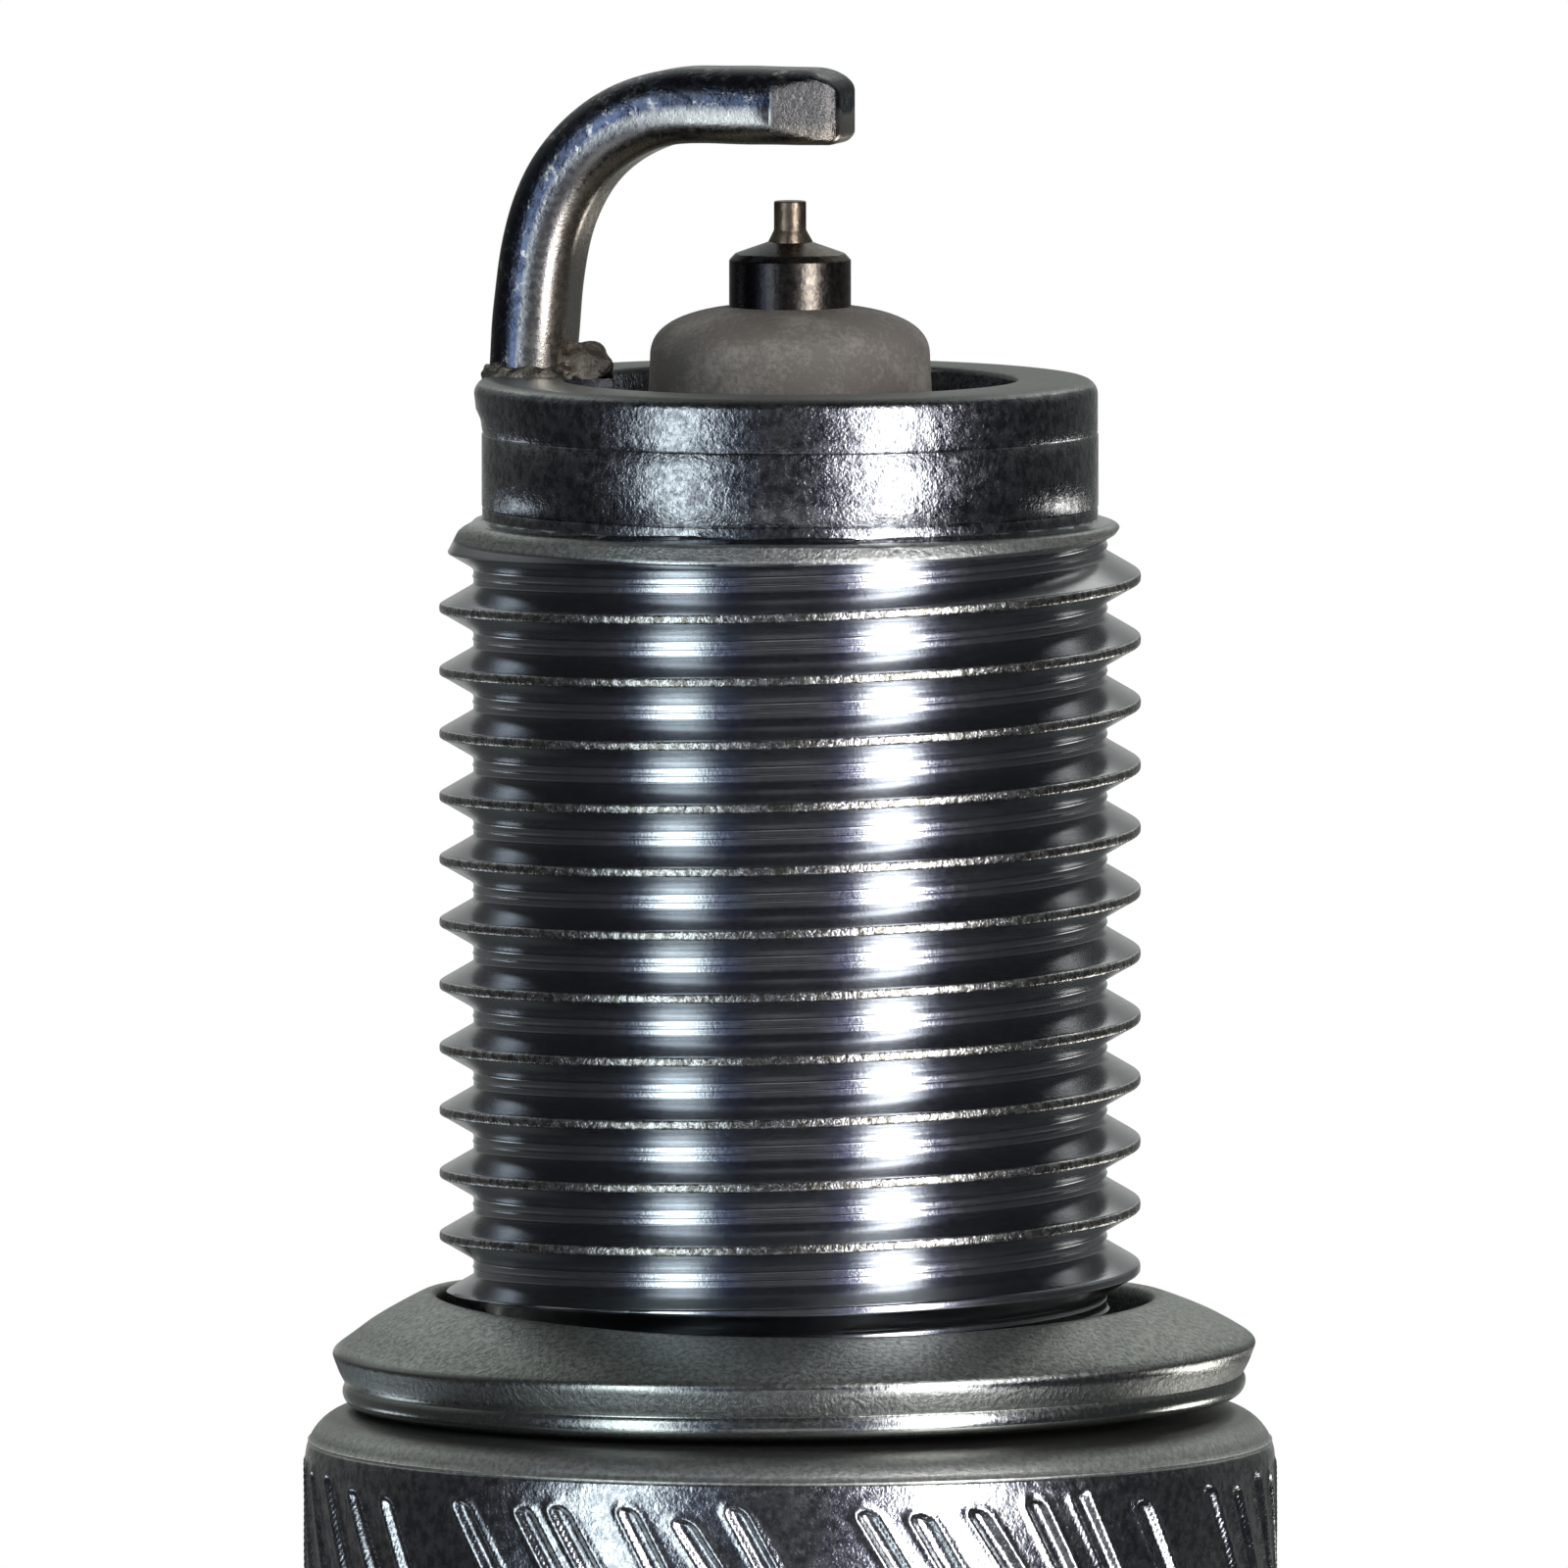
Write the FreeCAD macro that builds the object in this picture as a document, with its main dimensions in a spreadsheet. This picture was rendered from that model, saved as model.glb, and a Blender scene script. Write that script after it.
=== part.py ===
"""A spark plug with an M14 x 1.25 thread, modelled as sixteen separate pieces.

The frame is in millimetres. Z runs along the plug's axis towards the firing end. The origin is on the
axis, in the plane of the shell's gasket seat. Every driving dimension is a named cell of the sheet
"Sizes", and every sketch dimension is an expression of those cells.
"""

import FreeCAD, Part
import math
import os

import Sketcher

doc = FreeCAD.newDocument("SparkPlug")

# ---------------------------------------------------------------------------------------------------
# Driving dimensions: name, value in millimetres (or degrees or a count where the name says so)
# ---------------------------------------------------------------------------------------------------
DIMENSIONS = [
    # shell, outside, from the rim at the firing end down to the crimped lip
    ("rim_height", 20.5),
    ("pilot_radius", 6.11),
    ("pilot_length", 2.55),
    ("lead_in", 0.65),
    ("rim_round", 0.32),
    ("thread_radius", 6.92),
    ("thread_pitch", 1.25),
    ("thread_depth", 0.68),
    ("thread_end", 2.45),
    ("thread_crest", 2.824),
    ("relief_radius", 6.18),
    ("relief_height", 1.85),
    ("flange_radius", 9.64),
    ("flange_height", 5.4),
    ("flange_round", 1.0),
    ("flange_under_round", 0.4),
    ("waist_radius", 7.55),
    ("waist_height", 1.5),
    ("hex_across_flats", 16.0),
    ("hex_blank_radius", 9.1),
    ("hex_height", 8.6),
    ("hex_chamfer_width", 0.85),
    ("hex_chamfer_height", 0.5),
    ("collar_radius", 7.55),
    ("collar_height", 2.4),
    ("collar_round", 1.5),
    ("lip_thickness", 1.25),
    # shell, inside
    ("nose_bore", 4.5),
    ("nose_bore_depth", 7.9),
    ("ledge_bore", 3.75),
    ("ledge_height", 10.9),
    ("trunk_bore", 4.75),
    ("trunk_end", 3.2),
    ("barrel_bore", 6.1),
    ("cone_height", 1.2),
    ("seat_slope", 0.8),
    ("lip_bore", 5.35),
    # gasket: one strip of sheet folded into an S section
    ("gasket_outer", 9.16),
    ("gasket_height", 2.38),
    ("gasket_sheet", 0.33),
    ("gasket_gap", 0.02),
    ("gasket_catch", 6.75),
    ("gasket_inner", 7.15),
    ("gasket_roll", 0.5),
    ("gasket_roll_radius", 8.53),
    ("gasket_fold", 0.37),
    ("gasket_flat_end", 7.72),
    ("gasket_lip_height", 1.2),
    ("gasket_lip_width", 0.24),
    ("gasket_dome", 5.0),
    # ground electrode
    ("strap_thickness", 1.46),
    ("strap_width", 2.3),
    ("strap_round", 0.6),
    ("strap_base", 5.3),
    ("strap_bend", 2.44),
    ("strap_lean_degrees", 7.5),
    ("strap_tip", 1.12),
    ("strap_turn_degrees", 16.0),
    ("trim_start", 0.27),
    ("trim_half_width", 0.74),
    ("weld_margin", 0.17),
    ("weld_height", 0.34),
    ("spark_gap", 1.1),
    # centre electrode, its copper core and its fine-wire tip
    ("electrode_radius", 1.22),
    ("electrode_shoulder", 22.86),
    ("electrode_edge", 0.17),
    ("electrode_nose_radius", 0.5),
    ("electrode_nose", 23.22),
    ("electrode_head_radius", 1.75),
    ("electrode_seat", 1.2),
    ("electrode_end", 2.9),
    ("core_radius", 0.75),
    ("core_top", 21.2),
    ("tip_radius", 0.33),
    ("tip_top", 24.05),
    ("tip_socket", 0.35),
    ("tip_weld_radius", 0.42),
    # insulator
    ("insulator_top", 22.0),
    ("insulator_tip_radius", 2.7),
    ("insulator_tip_round", 0.95),
    ("insulator_taper", 1.0),
    ("insulator_nose_base", 3.3),
    ("insulator_trunk", 4.6),
    ("insulator_barrel", 5.95),
    ("insulator_neck", 5.15),
    ("barrel_start", 3.45),
    ("barrel_end", 12.0),
    ("shoulder_round", 1.0),
    ("insulator_end", 39.6),
    ("insulator_end_round", 0.6),
    ("electrode_bore", 1.25),
    ("main_bore", 2.0),
    ("washer_thickness", 0.45),
    ("rib_count", 5.0),
    ("rib_start", 21.6),
    ("rib_pitch", 3.0),
    ("rib_groove", 0.7),
    ("rib_edge", 0.3),
    # packing between the shell and the insulator
    ("wire_radius", 0.45),
    ("wire_ring_radius", 5.625),
    ("lower_ring_height", 13.31),
    ("upper_ring_height", 16.18),
    ("ring_clearance", 0.02),
    # conductive glass, resistor and terminal
    ("fill_clearance", 0.01),
    ("seal_start", 2.1),
    ("resistor_start", 7.0),
    ("resistor_end", 15.0),
    ("seal_end", 18.2),
    ("stud_start", 16.2),
    ("stud_radius", 1.85),
    ("stud_foot_radius", 1.6),
    ("stud_collar_radius", 2.75),
    ("stud_collar_height", 0.7),
    ("stud_thread_radius", 2.0),
    ("stud_thread_pitch", 0.7),
    ("stud_thread_depth", 0.42),
    ("stud_thread_relief", 0.5),
    ("stud_end", 48.2),
    ("stud_chamfer", 0.4),
    ("knurl_pitch", 0.4),
    ("knurl_depth", 0.12),
    ("nut_end", 49.0),
    ("nut_head_radius", 3.175),
    ("nut_neck_radius", 2.6),
    ("nut_bore", 2.03),
    ("nut_skirt", 1.5),
    ("nut_neck_length", 2.1),
    ("nut_slope", 0.5),
    ("nut_chamfer", 0.6),
    ("nut_gap", 0.03),
]

sheet = doc.addObject("Spreadsheet::Sheet", "Sizes")


class Size:
    """A length that is both a number and the sheet expression that gives it."""

    def __init__(self, value, text):
        self.value = value
        self.text = text

    def _join(self, other, sign, value):
        other_text = other.text if isinstance(other, Size) else str(other)
        return Size(value, "(" + self.text + " " + sign + " " + other_text + ")")

    def __add__(self, other):
        return self._join(other, "+", self.value + number(other))

    def __sub__(self, other):
        return self._join(other, "-", self.value - number(other))

    def __mul__(self, other):
        return self._join(other, "*", self.value * number(other))

    def __truediv__(self, other):
        return self._join(other, "/", self.value / number(other))

    def __neg__(self):
        return Size(-self.value, "(0 - " + self.text + ")")


def number(size):
    """The plain number of a Size or of a number."""
    return size.value if isinstance(size, Size) else float(size)


class Sizes:
    """Holds one Size for each cell of the sheet, by its alias."""


S = Sizes()
for row, (alias, value) in enumerate(DIMENSIONS, start=1):
    sheet.set("A%d" % row, alias)
    sheet.set("B%d" % row, str(value))
    sheet.setAlias("B%d" % row, alias)
    setattr(S, alias, Size(value, "Sizes." + alias))
doc.recompute()


# ---------------------------------------------------------------------------------------------------
# Helpers
# ---------------------------------------------------------------------------------------------------
def new_body(label):
    body = doc.addObject("PartDesign::Body", label)
    body.Label = label
    return body


def origin_plane(body, role):
    return next(item for item in body.Origin.OriginFeatures if item.Role == role)


def new_sketch(body, name, role="XZ_Plane"):
    """An empty sketch on one of the body's origin planes. On XZ, its x is the radius and its y is Z."""
    sketch = body.newObject("Sketcher::SketchObject", name)
    sketch.AttachmentSupport = (origin_plane(body, role), [""])
    sketch.MapMode = "FlatFace"
    return sketch


def lift(sketch, height):
    """Moves a sketch on the XY plane up to a height."""
    sketch.setExpression("AttachmentOffset.Base.z", height.text)


def fix_point(sketch, geometry, end, x, y):
    """Ties one end of a sketch line or arc to a place given by two sizes."""
    for kind, size in (("DistanceX", x), ("DistanceY", y)):
        if number(size) == 0.0:
            axis = -2 if kind == "DistanceX" else -1
            sketch.addConstraint(Sketcher.Constraint("PointOnObject", geometry, end, axis))
            continue
        index = sketch.addConstraint(Sketcher.Constraint(kind, -1, 1, geometry, end, number(size)))
        if isinstance(size, Size):
            sketch.setExpression("Constraints[%d]" % index, size.text)


def arc_between(start, end, radius):
    """A circular arc from start to end. A positive radius turns left on the way, a negative one right."""
    chord = end - start
    half = chord.Length / 2
    rise = math.sqrt(max(radius * radius - half * half, 0.0))
    side = 1 if radius > 0 else -1
    left = FreeCAD.Vector(-chord.y, chord.x, 0).normalize()
    centre = (start + end) / 2 + left * (side * rise)
    circle = Part.Circle(centre, FreeCAD.Vector(0, 0, 1), abs(radius))
    first, last = (start, end) if radius > 0 else (end, start)
    return Part.ArcOfCircle(circle, circle.parameter(first), circle.parameter(last))


def draw_outline(sketch, corners):
    """Draws a closed outline. A corner is (x, y), or (x, y, radius) where an arc arrives at it."""
    count = len(corners)
    base = sketch.GeometryCount
    points = [FreeCAD.Vector(number(c[0]), number(c[1]), 0) for c in corners]
    ends = []
    for i, corner in enumerate(corners):
        start, end = points[i - 1], points[i]
        if len(corner) == 2:
            sketch.addGeometry(Part.LineSegment(start, end), False)
            ends.append((1, 2))
            continue
        turn = corner[2]
        left_turn = number(turn) > 0
        sketch.addGeometry(arc_between(start, end, number(turn)), False)
        # every arc is stored anticlockwise, so one that turns right is drawn from its far end
        ends.append((1, 2) if left_turn else (2, 1))
        # half a circle has its radius from its two ends alone
        if abs((end - start).Length - 2 * abs(number(turn))) < 1e-6:
            centre_line = Sketcher.Constraint("Vertical", base + i, 3, base + i, 1)
            sketch.addConstraint(centre_line)
            continue
        index = sketch.addConstraint(Sketcher.Constraint("Radius", base + i, abs(number(turn))))
        if isinstance(turn, Size):
            sketch.setExpression("Constraints[%d]" % index, turn.text if left_turn else (-turn).text)
    for i, corner in enumerate(corners):
        following = (i + 1) % count
        here, there = base + i, base + following
        joined = Sketcher.Constraint("Coincident", here, ends[i][1], there, ends[following][0])
        sketch.addConstraint(joined)
        fix_point(sketch, here, ends[i][1], corner[0], corner[1])


def revolve(body, name, corners):
    """Turns a closed outline of (radius, height) corners round the plug's axis."""
    sketch = new_sketch(body, name + "_outline")
    draw_outline(sketch, corners)
    doc.recompute()
    feature = body.newObject("PartDesign::Revolution", name)
    feature.Profile = sketch
    feature.ReferenceAxis = (sketch, ["V_Axis"])
    feature.Angle = 360
    doc.recompute()
    return feature


def must_shrink(feature, before):
    if not feature.Shape.Volume < before - 1e-6:
        raise RuntimeError(feature.Name + " took nothing away")


def ring_edges(feature, radius, height):
    """The names of the circular edges round the axis at this radius and height."""
    found = []
    for i, edge in enumerate(feature.Shape.Edges, start=1):
        curve = edge.Curve
        if not isinstance(curve, Part.Circle):
            continue
        centre = curve.Center
        off_axis = math.hypot(centre.x, centre.y)
        same = abs(curve.Radius - number(radius)) < 1e-4 and abs(centre.z - number(height)) < 1e-4
        if same and off_axis < 1e-4:
            found.append("Edge%d" % i)
    if not found:
        raise RuntimeError("no edge of %s at %g, %g" % (feature.Name, number(radius), number(height)))
    return found


def round_rings(body, name, size, rings):
    """Rounds the circular edges at (radius, height) places to one size."""
    base = body.Tip
    edges = [edge for radius, height in rings for edge in ring_edges(base, radius, height)]
    feature = body.newObject("PartDesign::Fillet", name)
    feature.Base = (base, edges)
    feature.setExpression("Radius", size.text)
    doc.recompute()
    return feature


def cut_thread(body, name, radius, pitch, depth, start, length, flank_degrees=30.0):
    """Cuts a right-hand V thread into a shaft of this radius, from the height start upwards."""
    tangent = math.tan(math.radians(flank_degrees))
    crest_flat = pitch / 8
    over = pitch / 10
    half_root = (pitch - crest_flat) / 2 - depth * tangent
    half_mouth = (pitch - crest_flat) / 2 + over * tangent
    root = radius - depth
    mouth = radius + over
    corners = [
        (mouth, start - half_mouth),
        (mouth, start + half_mouth),
        (root, start + half_root),
        (root, start - half_root),
    ]
    sketch = new_sketch(body, name + "_section")
    draw_outline(sketch, corners)
    doc.recompute()
    before = body.Shape.Volume
    feature = body.newObject("PartDesign::SubtractiveHelix", name)
    feature.Profile = sketch
    feature.ReferenceAxis = (sketch, ["V_Axis"])
    feature.Mode = 0
    feature.setExpression("Pitch", pitch.text)
    feature.setExpression("Height", length.text)
    feature.LeftHanded = False
    doc.recompute()
    must_shrink(feature, before)
    return feature


# ---------------------------------------------------------------------------------------------------
# Shared heights. Those that lie below the seat plane are negative.
# ---------------------------------------------------------------------------------------------------
flange_bottom = -S.flange_height
hex_top = -(S.flange_height + S.waist_height)
hex_bottom = hex_top - S.hex_height
shell_end = hex_bottom - S.collar_height
lip_inside = shell_end + S.lip_thickness
seat_end = S.ledge_height - (S.trunk_bore - S.ledge_bore) * S.seat_slope
strap_top = S.tip_top + S.spark_gap + S.strap_thickness
strap_middle = S.tip_top + S.spark_gap + S.strap_thickness / 2


def seat_height(radius, drop):
    """Height of the conical seat at a radius, lowered by drop."""
    return S.ledge_height - (radius - S.ledge_bore) * S.seat_slope - drop


# ---------------------------------------------------------------------------------------------------
# The pieces
# ---------------------------------------------------------------------------------------------------
def make_shell():
    """Steel shell: pilot, thread, gasket seat, marked flange, waist, hexagon and crimped collar."""
    body = new_body("shell")
    lead_height = S.rim_height - S.pilot_length
    chamfer_radius = S.hex_blank_radius - S.hex_chamfer_width
    corners = [
        (S.nose_bore, S.rim_height),
        (S.nose_bore, S.rim_height - S.nose_bore_depth),
        (S.ledge_bore, S.rim_height - S.nose_bore_depth - (S.nose_bore - S.ledge_bore)),
        (S.ledge_bore, S.ledge_height),
        (S.trunk_bore, seat_end),
        (S.trunk_bore, -S.trunk_end),
        (S.barrel_bore, -(S.trunk_end + S.cone_height)),
        (S.barrel_bore, lip_inside),
        (S.lip_bore, lip_inside),
        (S.lip_bore, shell_end),
        (S.collar_radius, shell_end),
        (S.collar_radius, hex_bottom),
        (chamfer_radius, hex_bottom),
        (S.hex_blank_radius, hex_bottom + S.hex_chamfer_height),
        (S.hex_blank_radius, hex_top - S.hex_chamfer_height),
        (chamfer_radius, hex_top),
        (S.waist_radius, hex_top),
        (S.waist_radius, flange_bottom),
        (S.flange_radius, flange_bottom),
        (S.flange_radius, 0),
        (S.relief_radius, 0),
        (S.relief_radius, S.relief_height),
        (S.thread_radius, S.thread_end),
        (S.thread_radius, lead_height - S.lead_in),
        (S.pilot_radius, lead_height),
        (S.pilot_radius, S.rim_height),
    ]
    revolve(body, "turned_blank", corners)

    flats = new_sketch(body, "hexagon_flats", "XY_Plane")
    lift(flats, hex_top)
    corner = S.hex_across_flats / math.sqrt(3)
    six = []
    for i in range(6):
        angle = math.radians(60 * i)
        x, y = math.cos(angle), math.sin(angle)
        six.append((corner * x if abs(x) > 1e-9 else 0, corner * y if abs(y) > 1e-9 else 0))
    draw_outline(flats, six)
    clear = S.hex_blank_radius + 1
    circle = Part.Circle(FreeCAD.Vector(0, 0, 0), FreeCAD.Vector(0, 0, 1), number(clear))
    index = flats.addGeometry(circle, False)
    flats.addConstraint(Sketcher.Constraint("Coincident", index, 3, -1, 1))
    size = flats.addConstraint(Sketcher.Constraint("Radius", index, number(clear)))
    flats.setExpression("Constraints[%d]" % size, clear.text)
    doc.recompute()
    before = body.Shape.Volume
    milled = body.newObject("PartDesign::Pocket", "hexagon")
    milled.Profile = flats
    milled.setExpression("Length", S.hex_height.text)
    milled.Reversed = False
    doc.recompute()
    must_shrink(milled, before)

    round_rings(body, "flange_top_round", S.flange_round, [(S.flange_radius, 0)])
    lower = [(S.flange_radius, flange_bottom)]
    round_rings(body, "flange_under_round", S.flange_under_round, lower)
    round_rings(body, "collar_round", S.collar_round, [(S.collar_radius, shell_end)])
    round_rings(body, "rim_round", S.rim_round, [(S.pilot_radius, S.rim_height)])

    # thread_crest is the height of a crest on the +X side. The groove runs from inside the relief
    # to past the lead-in, so it has no dead ends.
    start = S.thread_crest - S.thread_pitch * 1.5
    length = lead_height - start + S.thread_pitch
    cut_thread(body, "thread", S.thread_radius, S.thread_pitch, S.thread_depth, start, length)
    return body


def make_gasket():
    """Crush gasket. A strip of sheet folded twice, caught under the thread but free to turn."""
    body = new_body("gasket")
    bottom = S.gasket_gap
    sheet_top = bottom + S.gasket_sheet
    roll_inner = S.gasket_roll - S.gasket_sheet
    middle_top = bottom + S.gasket_roll * 2
    middle_under = middle_top - S.gasket_sheet
    fold_inner = S.gasket_fold - S.gasket_sheet
    inside = S.gasket_inner + S.gasket_sheet
    top_under = S.gasket_height - S.gasket_sheet
    edge = S.gasket_outer - S.gasket_lip_width
    corners = [
        (S.gasket_catch, sheet_top),
        (S.gasket_catch, bottom),
        (S.gasket_roll_radius, bottom),
        (S.gasket_roll_radius, middle_top, S.gasket_roll),
        (S.gasket_inner + S.gasket_fold, middle_top),
        (inside, middle_top + fold_inner, -fold_inner),
        (inside, top_under - fold_inner),
        (S.gasket_inner + S.gasket_fold, top_under, -fold_inner),
        (S.gasket_flat_end, top_under),
        (edge, S.gasket_lip_height - S.gasket_lip_width, -(S.gasket_dome - S.gasket_sheet)),
        (S.gasket_outer, S.gasket_lip_height),
        (S.gasket_flat_end, S.gasket_height, S.gasket_dome),
        (S.gasket_inner + S.gasket_fold, S.gasket_height),
        (S.gasket_inner, S.gasket_height - S.gasket_fold, S.gasket_fold),
        (S.gasket_inner, middle_under + S.gasket_fold),
        (S.gasket_inner + S.gasket_fold, middle_under, S.gasket_fold),
        (S.gasket_roll_radius, middle_under),
        (S.gasket_roll_radius, sheet_top, -roll_inner),
    ]
    revolve(body, "folded_strip", corners)
    return body


def make_ground_electrode():
    """J-shaped nickel strap, welded to the rim, its free end above the centre electrode's tip."""
    body = new_body("ground_electrode")
    bend_height = strap_middle - S.strap_bend
    lean = math.radians(S.strap_lean_degrees.value)
    rim = S.rim_height.value
    bend = S.strap_bend.value
    leg = (bend_height.value - rim + bend * math.sin(lean)) / math.cos(lean)
    centre_x = bend * math.cos(lean) + leg * math.sin(lean) - S.strap_base.value
    run_out = 0.6

    # the strap's middle line: from the free end, round the bend and down past the rim
    path = new_sketch(body, "strap_path")
    tip = FreeCAD.Vector(S.strap_tip.value, strap_middle.value, 0)
    crown = FreeCAD.Vector(centre_x, strap_middle.value, 0)
    shoulder = FreeCAD.Vector(
        centre_x - bend * math.cos(lean), bend_height.value + bend * math.sin(lean), 0
    )
    foot = shoulder - FreeCAD.Vector(math.sin(lean), math.cos(lean), 0) * (leg + run_out)
    path.addGeometry(Part.LineSegment(tip, crown), False)
    path.addGeometry(arc_between(crown, shoulder, bend), False)
    path.addGeometry(Part.LineSegment(shoulder, foot), False)
    path.addConstraint(Sketcher.Constraint("Tangent", 0, 2, 1, 1))
    path.addConstraint(Sketcher.Constraint("Tangent", 1, 2, 2, 1))
    path.addConstraint(Sketcher.Constraint("Horizontal", 0))
    fix_point(path, 0, 1, S.strap_tip, strap_middle)
    radius = path.addConstraint(Sketcher.Constraint("Radius", 1, bend))
    path.setExpression("Constraints[%d]" % radius, S.strap_bend.text)
    start = path.addGeometry(Part.Point(FreeCAD.Vector(-S.strap_base.value, rim, 0)), True)
    fix_point(path, start, 1, -S.strap_base, S.rim_height)
    path.addConstraint(Sketcher.Constraint("PointOnObject", start, 1, 2))
    angle = path.addConstraint(Sketcher.Constraint("Angle", 2, -math.pi / 2 - lean))
    path.setExpression("Constraints[%d]" % angle, "(0 - 90 - Sizes.strap_lean_degrees) * 1 deg")
    over = path.addConstraint(Sketcher.Constraint("Distance", start, 1, 2, 2, run_out))
    path.renameConstraint(over, "run_out")
    doc.recompute()

    section = new_sketch(body, "strap_section", "YZ_Plane")
    section.setExpression("AttachmentOffset.Base.z", S.strap_tip.text)
    half = S.strap_width / 2
    top = strap_middle + S.strap_thickness / 2
    under = strap_middle - S.strap_thickness / 2
    rounding = S.strap_round
    section_corners = [
        (half - rounding, under),
        (half, under + rounding, rounding),
        (half, top - rounding),
        (half - rounding, top, rounding),
        (-(half - rounding), top),
        (-half, top - rounding, rounding),
        (-half, under + rounding),
        (-(half - rounding), under, rounding),
    ]
    draw_outline(section, section_corners)
    doc.recompute()
    strap = body.newObject("PartDesign::AdditivePipe", "strap")
    strap.Profile = section
    strap.Spine = (path, ["Edge1", "Edge2", "Edge3"])
    doc.recompute()

    level = new_sketch(body, "rim_level", "XY_Plane")
    lift(level, S.rim_height)
    wide = S.strap_width
    far = S.strap_base + S.strap_thickness * 2
    near = S.strap_base - S.strap_thickness * 2
    draw_outline(level, [(-far, -wide), (-near, -wide), (-near, wide), (-far, wide)])
    doc.recompute()
    before = body.Shape.Volume
    cut = body.newObject("PartDesign::Pocket", "cut_to_rim")
    cut.Profile = level
    cut.setExpression("Length", S.strap_width.text)
    doc.recompute()
    must_shrink(cut, before)

    # both sides of the free end are trimmed to a blunt wedge
    trim = new_sketch(body, "tip_trim", "XY_Plane")
    lift(trim, strap_top + S.strap_thickness)
    slope = (half - S.trim_half_width) / (S.strap_tip + S.trim_start)
    past = S.strap_thickness / 2
    end_x = S.strap_tip + past
    end_y = S.trim_half_width - past * slope
    wide_y = half + S.strap_thickness
    start_y = half
    for side in (1, -1):
        wedge = [
            (-S.trim_start, start_y * side),
            (end_x, end_y * side),
            (end_x, wide_y * side),
            (-S.trim_start, wide_y * side),
        ]
        draw_outline(trim, wedge)
    doc.recompute()
    before = body.Shape.Volume
    trimmed = body.newObject("PartDesign::Pocket", "trimmed_tip")
    trimmed.Profile = trim
    trimmed.setExpression("Length", (S.strap_thickness * 3).text)
    doc.recompute()
    must_shrink(trimmed, before)

    # flash left by the resistance weld, a low step all round the foot
    flash = new_sketch(body, "weld_outline", "XY_Plane")
    lift(flash, S.rim_height)
    inner = S.strap_base - S.strap_thickness / 2 - S.weld_margin
    outer = S.strap_base + S.strap_thickness / 2 + S.weld_margin
    side_y = half + S.weld_margin
    turn = S.strap_round
    flash_corners = [
        (-(outer - turn), -side_y),
        (-(inner + turn), -side_y),
        (-inner, -(side_y - turn), turn),
        (-inner, side_y - turn),
        (-(inner + turn), side_y, turn),
        (-(outer - turn), side_y),
        (-outer, side_y - turn, turn),
        (-outer, -(side_y - turn)),
        (-(outer - turn), -side_y, turn),
    ]
    draw_outline(flash, flash_corners[1:])
    doc.recompute()
    bead = body.newObject("PartDesign::Pad", "weld_flash")
    bead.Profile = flash
    bead.setExpression("Length", S.weld_height.text)
    doc.recompute()
    body.setExpression("Placement.Rotation.Angle", "(0 - Sizes.strap_turn_degrees) * 1 deg")
    doc.recompute()
    return body


def make_centre_electrode():
    """Nickel-alloy rod with a head that seats in the insulator, hollow for its copper core."""
    body = new_body("centre_electrode")
    clear = S.fill_clearance * 2
    gap = S.fill_clearance
    head_seat = -(S.electrode_seat + clear)
    head_step = (S.electrode_head_radius - S.electrode_radius) * S.seat_slope
    core_hole = S.core_radius + gap
    socket_floor = S.electrode_nose - S.tip_socket
    socket = S.tip_radius + gap
    corners = [
        (0, socket_floor),
        (0, S.core_top + gap),
        (core_hole, S.core_top + gap),
        (core_hole, -S.electrode_end),
        (S.electrode_head_radius, -S.electrode_end),
        (S.electrode_head_radius, head_seat - head_step),
        (S.electrode_radius, head_seat),
        (S.electrode_radius, S.electrode_shoulder),
        (S.electrode_radius - S.electrode_edge, S.electrode_shoulder + S.electrode_edge),
        (S.electrode_nose_radius, S.electrode_nose),
        (socket, S.electrode_nose),
        (socket, socket_floor),
    ]
    revolve(body, "rod", corners)
    return body


def make_centre_electrode_core():
    """Copper core inside the centre electrode."""
    body = new_body("centre_electrode_core")
    radius = S.core_radius
    corners = [
        (0, S.core_top),
        (0, -S.electrode_end),
        (radius, -S.electrode_end),
        (radius, S.core_top - S.electrode_edge),
        (radius - S.electrode_edge, S.core_top),
    ]
    revolve(body, "core", corners)
    return body


def make_electrode_tip():
    """Fine precious-metal wire, let into the end of the centre electrode and welded round its foot."""
    body = new_body("electrode_tip")
    foot = S.electrode_nose - S.tip_socket + S.fill_clearance
    bead = S.electrode_nose + S.fill_clearance
    edge = S.tip_radius / 8
    corners = [
        (0, foot),
        (S.tip_radius, foot),
        (S.tip_radius, bead),
        (S.tip_weld_radius, bead),
        (S.tip_radius, bead + S.tip_radius / 2),
        (S.tip_radius, S.tip_top - edge),
        (S.tip_radius - edge, S.tip_top),
        (0, S.tip_top),
    ]
    revolve(body, "wire", corners)
    return body


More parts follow.
